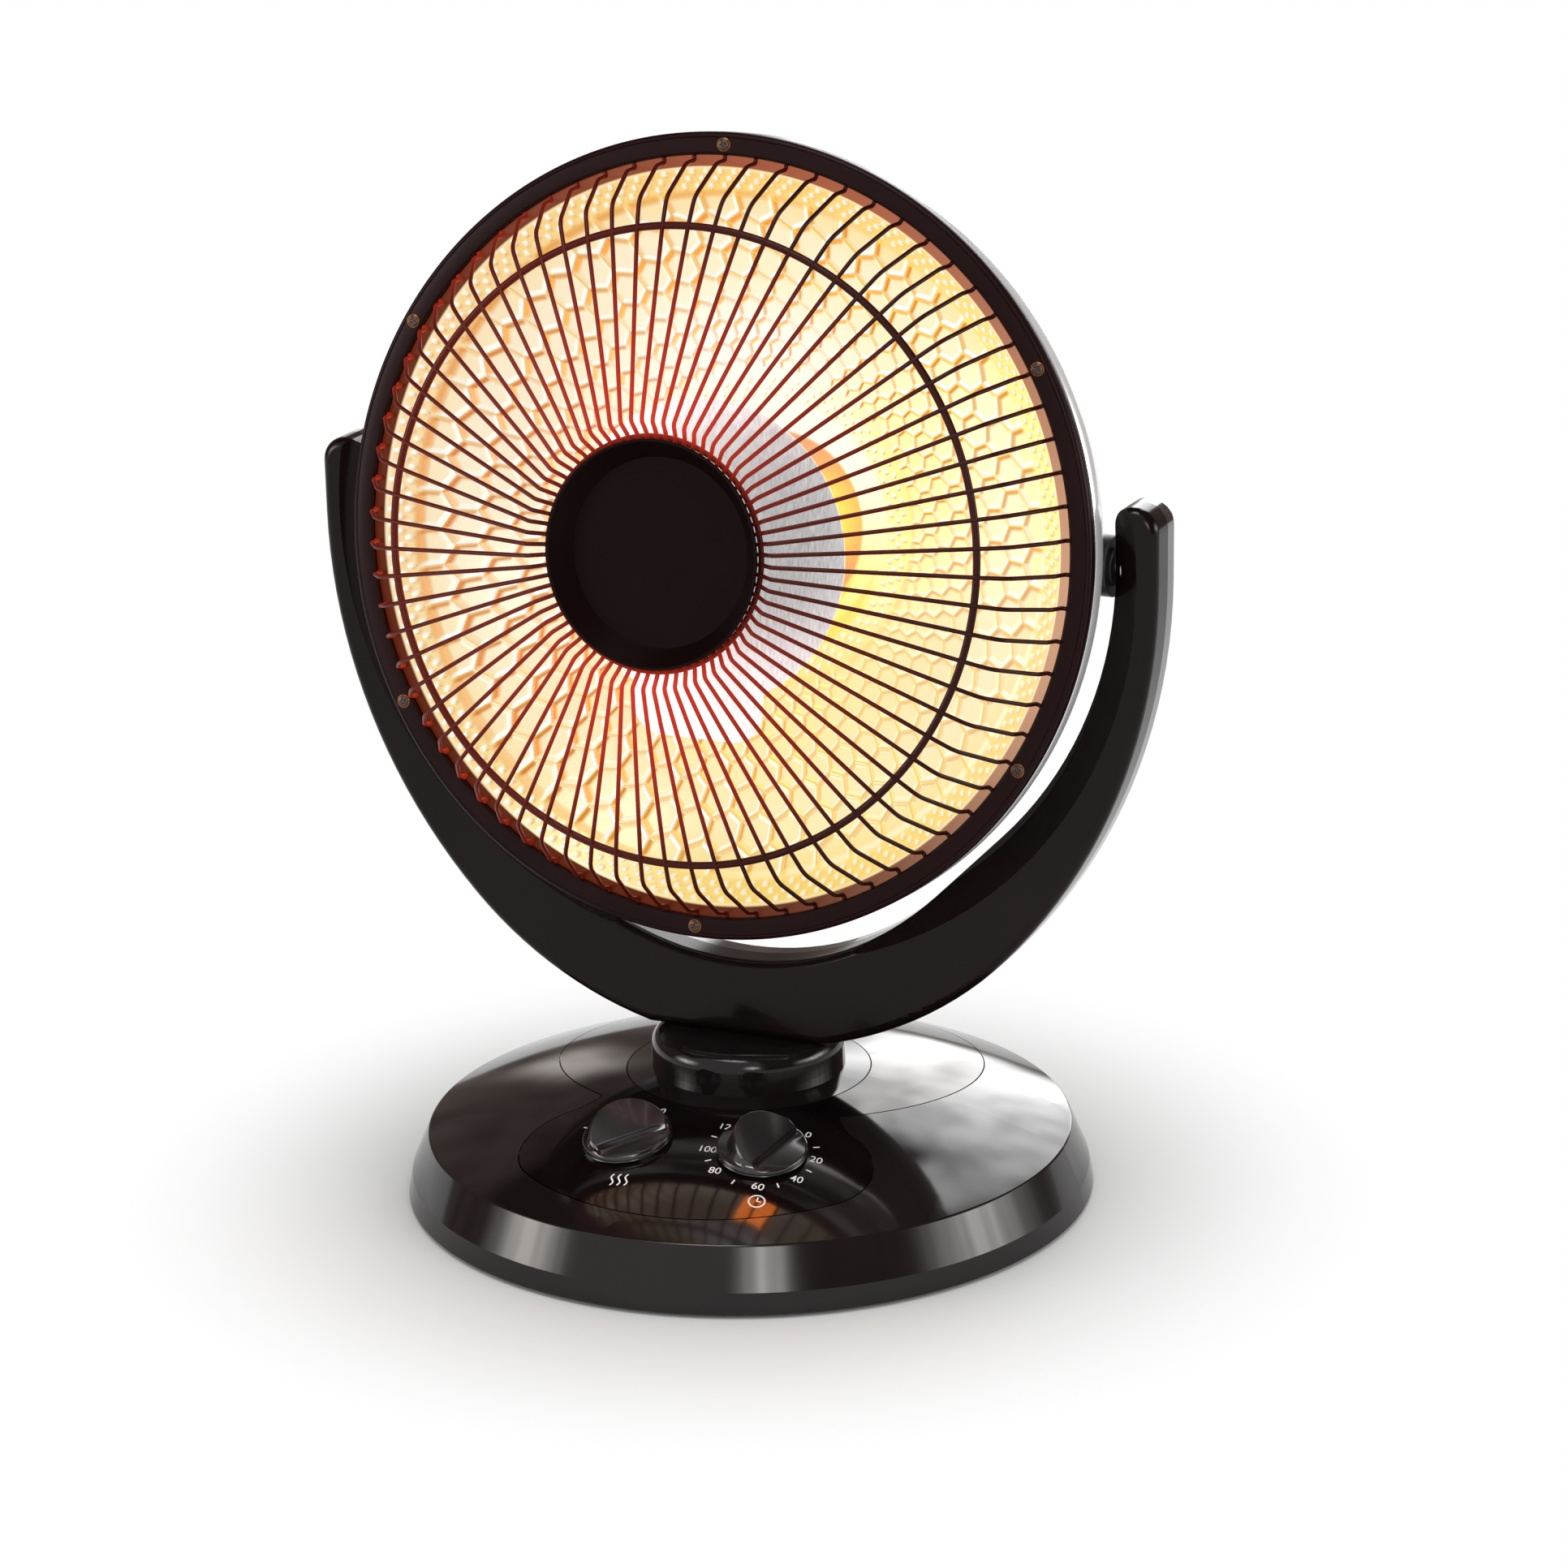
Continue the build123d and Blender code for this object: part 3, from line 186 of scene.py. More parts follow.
# stoved satin enamel on sheet steel: wide dull highlights with a wine cast
bezelEnamel = surface("satinBlackEnamel", paint | {
    "dark": "#180607", "light": "#1f0909", "grainMm": 0.9, "roughness": 0.36, "bump": 0.2, "specular": 0.1})
# dipped enamel on wire: brown black, with painted red light where the winding lights it
wireEnamel = surface("dippedBlackEnamel", paint | {
    "dark": "#240603", "light": "#330a05", "grainMm": 0.8, "roughness": 0.34, "bump": 0.1, "specular": 0.15,
    "layer": "wirePaintedRed", "glow": 1.0})
# sprayed enamel on the hub: the darkest spot of the dish
hubEnamel = surface("hubBlackEnamel", paint | {
    "dark": "#0f0505", "light": "#150706", "grainMm": 0.9, "roughness": 0.38, "bump": 0.15, "specular": 0.06})
# silver lacquer under a clear coat: pale, half mirror
silverPaint = surface("silverLacquer", paint | {
    "dark": "#e6e5e6", "light": "#f4f3f4", "grainMm": 0.8, "roughness": 0.2, "bump": 0.08, "metallic": 0.5,
    "coat": 0.3})
# grey iron as cast: rough and dull
ironCasting = surface("greyIronCasting", paint | {
    "dark": "#3a3938", "light": "#4a4847", "grainMm": 1.2, "roughness": 0.7, "bump": 0.8})
# brushed steel: upright lines and a broad sheen; it is pale from painted light, a glow in its own tint for
# the winding lighting it through the guard
shieldMetal = surface("brushedShieldSteel", metal | {
    "dark": "#c9c8c8", "light": "#f2f1f1", "patternMm": 0.6, "stretch": (1.0, 1.0, 0.05), "roughness": 0.38,
    "bump": 0.2, "glow": 0.52})
# zinc plate on pressed steel: cool grey mirror, a little cloudy
zincSteel = surface("zincPlatedSteel", metal | {
    "dark": "#a9abad", "light": "#c6c8c9", "patternMm": 0.8, "roughness": 0.3, "bump": 0.1})
# black oxide on a screw: dark brown metal
screwMetal = surface("blackOxideScrew", metal | {
    "dark": "#3d3330", "light": "#5a4c47", "patternMm": 0.5, "roughness": 0.35, "bump": 0.15})
# spring steel browned by heat: a thin copper ring round each screw
tintedWasher = surface("heatTintedWasher", metal | {
    "dark": "#6a3d1c", "light": "#96602f", "patternMm": 0.5, "roughness": 0.3, "bump": 0.1})
# bright anodised aluminium, deep drawn: it mirrors the winding, and most of its light is gold, a painted
# reflection of the winding laid on as glow from a colour layer
drawnSheet = {
    "patternMm": 0.9, "detail": 3.0, "ramp": (0.0, 1.0), "gloss": (0.7, 1.4), "metallic": 1.0,
    "layer": "glow", "glow": 1.0}
brightSheet = surface("brightAnodisedAluminium", drawnSheet | {
    "dark": "#5d5a57", "light": "#6e6a66", "roughness": 0.24})
# its lip, a darker copy of the sheet: painted reflection of the dark bezel
shadedLip = surface("lipUnderTheBezel", drawnSheet | {
    "dark": "#241512", "light": "#33201a", "roughness": 0.3})
# resistance wire at work: orange white
hotWinding = glowing("hotResistanceWire", {
    "dark": "#ff7a1e", "light": "#ffb14a", "grainMm": 6, "strength": 18.0})
# the ceramic under it, lit through by the winding: its pale orange is painted light, a glow of its own
ceramicPaintedGlow = glowing("ceramicCorePaintedGlow", {"dark": "#ff9a3c", "light": "#ffd08a", "grainMm": 8, "strength": 3.0})

nodeFinishes = (
    (shellAbs, "base_shell neck"),
    (deckAbs, "control_deck"),
    (yokeFrontAbs, "yoke_front_cover"),
    (yokeRearAbs, "yoke_rear_cover"),
    (knobAbs, "heat_knob timer_knob"),
    (plainNylon, "thrust_washer tip_plunger terminal_block pivot_bushes"),
    (innerPlastic, "bearing_tower tip_switch cord_gland heat_switch pivot_boss_left pivot_boss_right"),
    (innerPlastic, "friction_washers"),
    (footRubber, "rubber_feet"),
    (firedCeramic, "element_holder spacer_tube"),
    (bezelEnamel, "bezel"),
    (hubEnamel, "hub_cap"),
    (silverPaint, "rear_shell terminal_cover"),
    (ironCasting, "ballast"),
    (shieldMetal, "heat_shield"),
    (zincSteel, "heat_shaft timer_shaft bottom_plate gearmotor timer retaining_ring pivot_pins"),
    (zincSteel, "centre_rod cap_nut thermal_cutout"),
    (screwMetal, "plate_screws bezel_screws"),
    (hotWinding, "heating_coil"),
    (ceramicPaintedGlow, "ceramic_core"),
)
for finish, nodeNames in nodeFinishes:
    for nodeName in nodeNames.split():
        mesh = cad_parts[nodeName].data
        mesh.materials.clear()
        mesh.materials.append(finish)
print("stage: finishes on the solid pieces")


# places and meshes

dishPlace = {"tilt": 8.1, "ahead": 29.4 * mm, "drop": 1.9 * mm, "pivotHeight": 323.1 * mm}
basePlace = {"turn": 7.5, "domeRadius": 390 * mm, "rimRadius": 154.4 * mm, "rimHeight": 31.5 * mm}


def dishPoint(x, depth, z):
    # a point of the upright dish, depth behind the bezel plane, put where the tilted dish has it
    tilt = math.radians(dishPlace["tilt"])
    y = depth - dishPlace["ahead"]
    z = z - dishPlace["drop"]
    return (x, y * math.cos(tilt) + z * math.sin(tilt),
            -y * math.sin(tilt) + z * math.cos(tilt) + dishPlace["pivotHeight"])


def roundDish(radius, depth, angle):
    # arrays in millimetres and radians, angle from the top clockwise, as one list of points
    place = dishPoint(radius * np.sin(angle) * mm, depth * mm, radius * np.cos(angle) * mm)
    return list(np.stack(np.broadcast_arrays(*place), -1).reshape(-1, 3))


def deckPoint(side, ahead, lift=0.0):
    # a point on the dome of the base, side to its right and ahead of its middle
    radius = basePlace["domeRadius"]
    centre = basePlace["rimHeight"] - math.sqrt(radius ** 2 - basePlace["rimRadius"] ** 2)
    up = math.sqrt(radius ** 2 - side ** 2 - ahead ** 2)
    grow = (radius + lift) / radius
    turn = math.radians(basePlace["turn"])
    x, y, z = side * grow, -ahead * grow, up * grow + centre
    return (x * math.cos(turn) - y * math.sin(turn), x * math.sin(turn) + y * math.cos(turn), z)


def gridFaces(rows, columns, start=0, closed=True, ring=False, flip=False):
    # faces between rows of points; closed joins the last column to the first, ring the last row to the first
    faces = []
    for i in range(rows if ring else rows - 1):
        here = start + i * columns
        after = start + (i + 1) % rows * columns
        for j in range(columns if closed else columns - 1):
            k = (j + 1) % columns
            if flip:
                faces.append((here + j, after + j, after + k, here + k))
            else:
                faces.append((here + j, here + k, after + k, after + j))
    return faces


def faceOutwards(points, faces):
    # the signed volume of a closed mesh tells which way its faces look
    place = np.array(points)
    volume = 0.0
    for face in faces:
        for k in range(1, len(face) - 1):
            volume += float(np.dot(place[face[0]], np.cross(place[face[k]], place[face[k + 1]])))
    return [tuple(reversed(face)) for face in faces] if volume < 0 else faces


def spinProfile(profile, turns):
    # a closed outline of (radius, depth) turned round the axis of the dish
    radius, depth = np.array(profile).T
    points = roundDish(radius, depth, np.arange(turns)[:, None] * fullTurn / turns)
    return points, faceOutwards(points, gridFaces(turns, len(profile), ring=True, flip=True))


def meshPiece(name, points, faces, finish, body, slotName, smooth=True):
    mesh = bpy.data.meshes.new(name)
    mesh.from_pydata([tuple(p) for p in points], [], faces)
    mesh.materials.append(finish)
    mesh.polygons.foreach_set("use_smooth", [smooth] * len(mesh.polygons))
    mesh.validate()
    mesh.update()
    piece = bpy.data.objects.new(name, mesh)
    bpy.context.scene.collection.objects.link(piece)
    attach(piece, body)
    return piece


def colourLayer(mesh, name, colours):
    # one linear colour with alpha for each point
    layer = mesh.color_attributes.new(name, "FLOAT_COLOR", "POINT")
    layer.data.foreach_set("color", np.array(colours, dtype=np.float32).ravel())


# reflector, all lengths in millimetres

reflectorShape = {
    "rim": 170.0, "flange": 182.0, "flangeDepth": 1.1, "depth": 76.0, "thickness": 0.8,
    "step": 57.0, "stepRise": 3.0, "plate": 46.0, "hole": 19.0, "lipFrom": 169.3,
    "cells": 54, "cellFirst": 76.0, "cellInner": 73.0, "cellOuter": 158.5, "cellFade": 3.0,
    "cellDepth": 1.3, "cellSize": 15.0, "cellWall": 0.3,    # depth at that size, share that is wall
    "innerDimples": 72, "dimples": 150, "dimpleRise": 0.8, "dimpleRadius": 1.3,
    "innerRows": (62.5, 66.0, 69.5), "outerRows": (160.5, 163.7, 166.9),
    # rings of points: close where the sheet bends, even over the pressed part
    "around": 1296, "rowPitch": 0.75,
    "innerRings": (19.0, 19.3, 30.0, 40.0, 44.5, 45.2, 46.0, 46.8, 48.0, 50.0, 52.0, 54.0, 55.6, 56.4),
    "outerRings": (169.2, 169.7, 170.0, 170.6, 172.5, 176.0, 182.0),
    "backAround": 144, "backRings": 14, "backGap": 1.2,
}


def bowlDepth(r):
    shape = reflectorShape
    return shape["flangeDepth"] + (shape["depth"] - shape["flangeDepth"]) * (1 - (r / shape["rim"]) ** 2)


def smooth(x):
    return x * x * (3 - 2 * x)


def cellHeight(r, angle):
    # pressed honeycomb that grows outwards: (width of the cell here, how near its edge)
    shape = reflectorShape
    per = fullTurn / shape["cells"]
    rowPitch = math.sqrt(3) / 2
    u = angle / per
    v = np.log(r / shape["cellFirst"]) / (per * rowPitch)
    best = None
    for step in (-1, 0, 1):
        row = np.round(v) + step
        shift = np.where(np.mod(row, 2) == 0, 0.0, 0.5)
        du = np.abs(u - shift - np.round(u - shift))
        dv = np.abs(v - row) * rowPitch
        reach = np.maximum(du, 0.5 * du + dv * rowPitch) * 2
        best = reach if best is None else np.minimum(best, reach)
    return per * r, np.clip(best, 0, 1)


def reflectorRows():
    shape = reflectorShape
    middle = np.arange(shape["step"], shape["rim"] - 1.0, shape["rowPitch"])
    return np.concatenate([shape["innerRings"], middle, shape["outerRings"]])


def dimpleRows(r, a):
    # 1 in the middle of each round dimple, 0 beside it; each row stands half a pitch from the next
    shape = reflectorShape
    dots = np.zeros_like(r)
    inner = len(shape["innerRows"])
    for index, rowRadius in enumerate(shape["innerRows"] + shape["outerRows"]):
        pitch = fullTurn / (shape["innerDimples"] if index < inner else shape["dimples"])
        shift = 0.5 * pitch if index % 2 else 0.0
        da = np.abs(a - shift - pitch * np.round((a - shift) / pitch)) * rowRadius
        away = np.hypot(da, r - rowRadius) / shape["dimpleRadius"]
        dots = np.maximum(dots, np.clip(1 - away ** 2, 0, 1))
    return dots


def buildReflector():
    shape = reflectorShape
    radii = reflectorRows()
    count = shape["around"]
    r, a = np.meshgrid(radii, np.arange(count) * fullTurn / count, indexing="ij")
    # bowl, step round the middle, plate and flange
    stepDepth = bowlDepth(shape["step"])
    plateDepth = stepDepth + shape["stepRise"]
    bowl = bowlDepth(np.clip(r, shape["step"], shape["rim"]))
    depth = np.where(r >= shape["rim"], shape["flangeDepth"], bowl)
    slope = np.clip((shape["step"] - r) / (shape["step"] - shape["plate"]), 0, 1)
    ease = 0.5 - 0.5 * np.cos(slope * math.pi)
    depth = np.where(r < shape["step"], stepDepth + ease * (plateDepth - stepDepth), depth)
    # pressed cells and dimples
    size, edge = cellHeight(np.clip(r, shape["hole"] + 1, None), a)
    inCells = (r > shape["cellInner"]) & (r < shape["cellOuter"])
    fade = np.clip((r - shape["cellInner"]) / shape["cellFade"], 0, 1)
    fade = fade * np.clip((shape["cellOuter"] - r) / shape["cellFade"], 0, 1)
    wall = smooth(np.clip((1 - edge) / shape["cellWall"], 0, 1))
    pressed = np.where(inCells, shape["cellDepth"] * (size / shape["cellSize"]) * wall * fade, 0)
    dots = dimpleRows(r, a)
    pressed = pressed - shape["dimpleRise"] * dots
    points = roundDish(r, depth + pressed, a)
    faces = gridFaces(len(radii), count)
    # back of the sheet, plain
    even = np.linspace(shape["rim"] - 2, shape["step"] + 2, shape["backRings"])
    back = np.array([shape["flange"], shape["rim"] + 0.4, *even, 52.0, shape["plate"], shape["hole"]])
    backDepth = np.where(back >= shape["step"], bowlDepth(back) + shape["backGap"], plateDepth)
    backDepth = np.where(back >= shape["rim"], shape["flangeDepth"], backDepth) + shape["thickness"]
    turns = np.arange(shape["backAround"]) * fullTurn / shape["backAround"]
    faces += gridFaces(len(back), shape["backAround"], start=len(points))
    points += roundDish(back[:, None], backDepth[:, None], turns)
    return points, faces, paintedLightColours(r, a, pressed, dots, len(points))


# painted light: glow colours that stand in for the light the sheet throws back from the winding, with painted
# highlights and shade on its facets
reflectorPaintedLight = {
    "honey": "#ffe691", "straw": "#ffe47a", "cream": "#ffeac2", "white": "#fffef2", "amber": "#d8842f",
    "orange": "#f8c04e", "yellow": "#ffe25a", "tan": "#dd9c68", "brickRed": "#b0654b", "sand": "#d0a283",
    "umber": "#5c2c22",
    "mirrored": 0.09,       # light that the metal mirrors besides, taken off the glow
    "lightFrom": 2.3,       # side that the facets are lit from, in radians from the right
    "steepest": 0.42,       # slope of a facet that is fully lit or shaded
    "grooveShare": 0.16,    # part of a cell's depth that reads as the line between two cells
    "ringSide": 0.35,       # side where the stepped ring is whitest, in radians from the top
}


def paintedLightColours(r, a, pressed, dots, total):
    # one colour of painted light for each point; sides are in degrees from the top, clockwise
    glow = reflectorPaintedLight
    shape = reflectorShape
    tone = {key: np.array(toLinear(value)[:3]) for key, value in glow.items() if isinstance(value, str)}

    def lay(shade, colour, amount):
        amount = np.clip(amount, 0, 1)[..., None]
        return shade * (1 - amount) + tone[colour] * amount

    def towards(side, narrow=1.0):
        # 1 on that side of the dish, 0 on the other
        return np.clip(0.5 + 0.5 * np.cos(a - math.radians(side)), 0, 1) ** narrow

    def between(start, end):
        # 0 at the start radius, 1 at the end radius
        return np.clip((r - start) / (end - start), 0, 1)

    def line(radius, width):
        return np.exp(-((r - radius) / width) ** 2)

    # painted light: a honey ground, cream at the left and right and straw at the upper right
    shade = np.zeros(r.shape + (3,)) + tone["honey"]
    shade = lay(shade, "cream", 0.95 * towards(280, 2.0))
    shade = lay(shade, "cream", 0.6 * towards(85, 6.0))
    shade = lay(shade, "straw", 0.8 * towards(40, 5.0) * between(150, 80))
    # painted light: deeper orange towards the rim at the top, a painted white highlight above the winding
    shade = lay(shade, "orange", 0.3 * towards(0, 5.0) * smooth(between(112, 146)))
    shade = lay(shade, "orange", 0.22 * smooth(between(145, 165)))
    shade = lay(shade, "white", 1.1 * towards(352, 6.0) * smooth(between(128, 88)))
    shade = lay(shade, "white", 0.75 * line(62, 9) * towards(335, 1.5))
    # painted highlight and shade: facets of the cells and dimples that face the winding are bright, the
    # others are dark
    slopeOut = np.gradient(pressed, axis=0) / np.gradient(r, axis=0)
    slopeRound = (np.roll(pressed, -1, 1) - np.roll(pressed, 1, 1)) / (2 * r * fullTurn / r.shape[1])
    acrossX = slopeOut * np.sin(a) + slopeRound * np.cos(a)
    upZ = slopeOut * np.cos(a) - slopeRound * np.sin(a)
    lit = acrossX * math.cos(glow["lightFrom"]) + upZ * math.sin(glow["lightFrom"])
    lit = (0.7 * lit + 0.5 * slopeOut * towards(180)) / glow["steepest"]
    facet = np.clip(pressed / shape["cellDepth"], 0, 1) ** 2
    outerDim = 1 - 0.5 * smooth(between(138, 154))
    shade = lay(shade, "white", 0.55 * facet * (0.5 + 0.5 * towards(30)) * outerDim)
    shade = lay(shade, "white", 1.6 * np.clip(lit, 0, None))
    shade = lay(shade, "amber", 0.74 * np.clip(-lit, 0, None))
    # painted shade: the groove between two cells is a thin darker line
    groove = np.clip(1 - pressed / (glow["grooveShare"] * shape["cellDepth"]), 0, 1)
    groove = groove * ((r > shape["cellInner"] + 2) & (r < shape["cellOuter"] - 2))
    shade = lay(shade, "amber", 0.36 * groove)
    shade = lay(shade, "white", 0.85 * smooth(dots))
    # painted highlights and shade on the stepped rings round the middle
    inner = between(45.6, 45.0)
    ring = between(60.2, 59.6) * (1 - inner)
    shade = lay(shade, "yellow", ring * (0.95 - 0.9 * towards(20)))
    shade = lay(shade, "white", ring * np.clip(0.2 + 0.9 * np.cos(a - glow["ringSide"]), 0, 1))
    shade = lay(shade, "tan", inner * 0.9)
    shade = lay(shade, "white", 0.6 * line(34.5, 1.8))
    # plain lip beside the bezel: painted reflection of the dark bezel, and of the warm side of the dish at
    # the right
    lip = between(169.2, 170.0)
    shade = lay(shade, "white", 0.4 * line(168.9, 0.6))
    shade = lay(shade, "umber", lip)
    shade = lay(shade, "brickRed", lip * 0.9 * towards(25, 4.0))
    shade = lay(shade, "sand", lip * towards(95, 7.0))
    shade = np.clip(shade - glow["mirrored"] * (1 - 0.85 * lip[..., None]), 0, None)
    flat = np.zeros((total, 4))
    flat[:, 3] = 1
    flat[:r.size, :3] = shade.reshape(-1, 3)
    return flat


points, faces, glow = buildReflector()
reflector = meshPiece("pressedReflector", points, faces, brightSheet, "dish", "reflector")
reflector.data.materials.append(shadedLip)
colourLayer(reflector.data, "glow", glow)
lipStart = int(np.argmax(reflectorRows() > reflectorShape["lipFrom"]))
lipEnd = len(reflectorRows()) - 1
for index in range(lipStart * reflectorShape["around"], lipEnd * reflectorShape["around"]):
    reflector.data.polygons[index].material_index = 1
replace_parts(reflector, "reflector")
print("stage: reflector pressed")


# guard, all lengths in millimetres

guardShape = {
    "count": 72, "wire": 1.0, "sides": 10, "bendSteps": 6,
    # radius, depth behind the bezel plane, bend radius
    "path": ((175.6, 0.0, 0), (172.4, 0.0, 1.2), (171.0, -9.0, 8.0), (157.0, -31.0, 14.0),
             (144.3, -36.7, 30.0), (60.0, -67.0, 3.0), (54.5, -62.6, 3.0), (51.0, -61.2, 0)),
    # welded ring wire and the collar behind the hub: radius, depth, half width, flatness
    "rings": ((144.3, -35.7, 1.75, 1.0), (52.5, -60.8, 1.4, 0.5)), "ringTurns": 288, "ringSides": 14,
}
# painted red light on the wires: most near the winding above and below the hub, some at the left edge
wirePaintedRed = {
    "colour": "#d6361f", "middle": 0.9, "middleRadius": 56, "middleWidth": 42, "besideHub": 0.05,
    "edge": 0.4, "edgeRadius": 166, "left": 0.11, "underHub": 0.15, "hubRadius": 51.5,
}


def bentPath(corners):
    # straight runs joined by arcs at the corners of a flat path
    steps = guardShape["bendSteps"]
    out = [np.array(corners[0][:2])]
    for before, here, after in zip(corners, corners[1:], corners[2:]):
        p, q, s = [np.array(c[:2], float) for c in (before, here, after)]
        toP, toS = np.linalg.norm(p - q), np.linalg.norm(s - q)
        a, b = (p - q) / toP, (s - q) / toS
        half = math.acos(np.clip(a @ b, -1, 1)) / 2
        reach = min(here[2] / max(math.tan(half), 1e-6), 0.45 * toP, 0.45 * toS)
        start, end = q + a * reach, q + b * reach
        for i in range(steps + 1):
            t = i / steps
            out.append((1 - t) ** 2 * start + 2 * t * (1 - t) * q + t ** 2 * end)
    out.append(np.array(corners[-1][:2]))
    return np.array(out)


def buildGuard():
    shape = guardShape
    path = bentPath(shape["path"])
    padded = np.concatenate([path[:1], path, path[-1:]])
    ahead = padded[2:] - padded[:-2]
    ahead = ahead / np.linalg.norm(ahead, axis=1)[:, None]
    t = np.arange(shape["sides"]) * fullTurn / shape["sides"]
    across = shape["wire"] * np.cos(t) + np.zeros((len(path), 1))
    outwards = path[:, :1] - ahead[:, 1:] * shape["wire"] * np.sin(t)
    depth = path[:, 1:] + ahead[:, :1] * shape["wire"] * np.sin(t)
    points, faces = [], []
    for n in range(shape["count"]):
        c, s = math.cos(fullTurn * n / shape["count"]), math.sin(fullTurn * n / shape["count"])
        start = len(points)
        place = dishPoint((across * c + outwards * s) * mm, depth * mm, (outwards * c - across * s) * mm)
        points += list(np.stack(place, -1).reshape(-1, 3))
        last = len(points) - shape["sides"]
        faces += gridFaces(len(path), shape["sides"], start)
        faces.append(tuple(start + k for k in reversed(range(shape["sides"]))))
        faces.append(tuple(last + k for k in range(shape["sides"])))
    turns = np.arange(shape["ringTurns"])[:, None] * fullTurn / shape["ringTurns"]
    t = np.arange(shape["ringSides"]) * fullTurn / shape["ringSides"]
    for centreRadius, centreDepth, half, flatness in shape["rings"]:
        faces += gridFaces(shape["ringTurns"], shape["ringSides"], len(points), ring=True, flip=True)
        points += roundDish(centreRadius + half * np.cos(t), centreDepth + half * flatness * np.sin(t), turns)
    return points, faces


def wirePaintedLight(points):
    # how much painted red light each point of the wires gets
    glow = wirePaintedRed
    x, y, z = np.array(points).T / mm
    tilt = math.radians(dishPlace["tilt"])
    height = z - dishPlace["pivotHeight"] / mm
    up = y * math.sin(tilt) + height * math.cos(tilt) + dishPlace["drop"] / mm
    radius = np.hypot(x, up)
    upright = (np.abs(up) / np.maximum(radius, 1)) ** 2
    amount = glow["middle"] * np.exp(-((radius - glow["middleRadius"]) / glow["middleWidth"]) ** 2)
    amount = amount * (glow["besideHub"] + (1 - glow["besideHub"]) * upright)
    edge = np.clip((radius - glow["edgeRadius"]) / 5, 0, 1) * np.clip((-x - 40) / 80, 0, 1)
    amount = np.maximum(amount, glow["edge"] * edge)
    amount = np.maximum(amount, glow["left"] * np.clip((60 - x) / 160, 0, 1))
    amount = amount * np.clip((radius - glow["hubRadius"]) / 4, glow["underHub"], 1)
    colour = np.ones((len(radius), 4))
    colour[:, :3] = np.array(toLinear(glow["colour"])[:3]) * amount[:, None]
    return colour


points, faces = buildGuard()
guard = meshPiece("wireGuard", points, faces, wireEnamel, "dish", "guard_black")
colourLayer(guard.data, "wirePaintedRed", wirePaintedLight(points))
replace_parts(guard, "guard")
print("stage: guard bent and welded")


# bezel, rolled rim of the shell, screws, all lengths in millimetres

bezelShape = {
    # (radius, depth behind the bezel plane): inner lip, flat face, fine groove, rounded edge, short wall
    "outline": ((174.6, 1.0), (174.6, -0.8), (174.9, -1.5), (175.6, -1.95), (176.2, -2.0), (182.2, -2.0),
                (182.35, -1.95), (182.45, -1.6), (182.65, -1.6), (182.75, -1.9), (183.3, -1.88),
                (184.1, -1.5), (184.7, -0.8), (184.97, 0.2), (184.97, 4.2), (184.8, 4.5), (183.0, 4.5),
                (182.6, 1.2), (182.0, 1.0)),
    "rim": ((182.3, 4.7), (184.4, 4.75), (184.75, 5.1), (184.78, 13.4), (184.5, 15.2), (183.9, 17.0),
            (182.9, 19.2), (182.2, 20.4)),
    "face": -2.0, "turns": 288,
}
screwShape = {
    "count": 6, "circle": 179.4, "head": 2.8, "dome": 1.0, "domePower": 0.8, "edge": 0.05,
    "recess": 0.55, "slotHalf": 0.42, "slotReach": 1.7, "slotSlope": 0.24, "slotEnd": 0.3,
    "firstTurn": 15, "turnEach": 47,        # degrees, so that no two slots stand alike
    "rings": [0.2 * k for k in range(1, 14)] + [2.72, 2.8], "around": 40,
    "washer": 3.25, "washerHeight": 0.22, "washerEdge": 0.12, "washerRings": (2.6, 2.9, 3.1, 3.18, 3.25),
}
spun = spinProfile(bezelShape["outline"], bezelShape["turns"])
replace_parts(meshPiece("bezelRing", *spun, bezelEnamel, "dish", "bezel_satin"), "bezel")
spun = spinProfile(bezelShape["rim"], bezelShape["turns"])
meshPiece("shellRim", *spun, silverPaint, "dish", "shell_silver")


def reliefDisc(radii, around, height, place):
    # a round lid with a height at each point and a flat bottom; place puts (x, y, height) into the world
    points = [place(0, 0, height(0, 0))]
    for r in radii:
        for j in range(around):
            t = fullTurn * j / around
            x, y = r * math.cos(t), r * math.sin(t)
            points.append(place(x, y, height(x, y)))
    last = len(points) - around
    faces = [(0, 1 + j, 1 + (j + 1) % around) for j in range(around)]
    faces += gridFaces(len(radii), around, 1, flip=True)
    faces.append(tuple(last + j for j in range(around)))
    return points, faceOutwards(points, faces)


def joinedDiscs(discs):
    points, faces = [], []
    for discPoints, discFaces in discs:
        start = len(points)
        points += discPoints
        faces += [tuple(start + k for k in face) for face in discFaces]
    return points, faces


def screwHeight(x, y):
    # a pan head with a cross recess
    shape = screwShape
    r = math.hypot(x, y)
    if r > shape["head"] - shape["edge"]:
        return 0.0
    dome = shape["dome"] * math.sqrt(max(1 - (r / shape["head"]) ** 2, 0)) ** shape["domePower"]
    cut = 0.0
    for u, v in ((x, y), (y, x)):
        side = (shape["slotHalf"] + shape["slotSlope"] / 2 - abs(u)) / shape["slotSlope"]
        end = (shape["slotReach"] - abs(v)) / shape["slotEnd"]
        cut = max(cut, min(max(side, 0), 1) * min(max(end, 0), 1))
    return dome - shape["recess"] * cut


def washerHeight(x, y):
    shape = screwShape
    return shape["washerHeight"] if math.hypot(x, y) < shape["washer"] - shape["washerEdge"] else 0.0


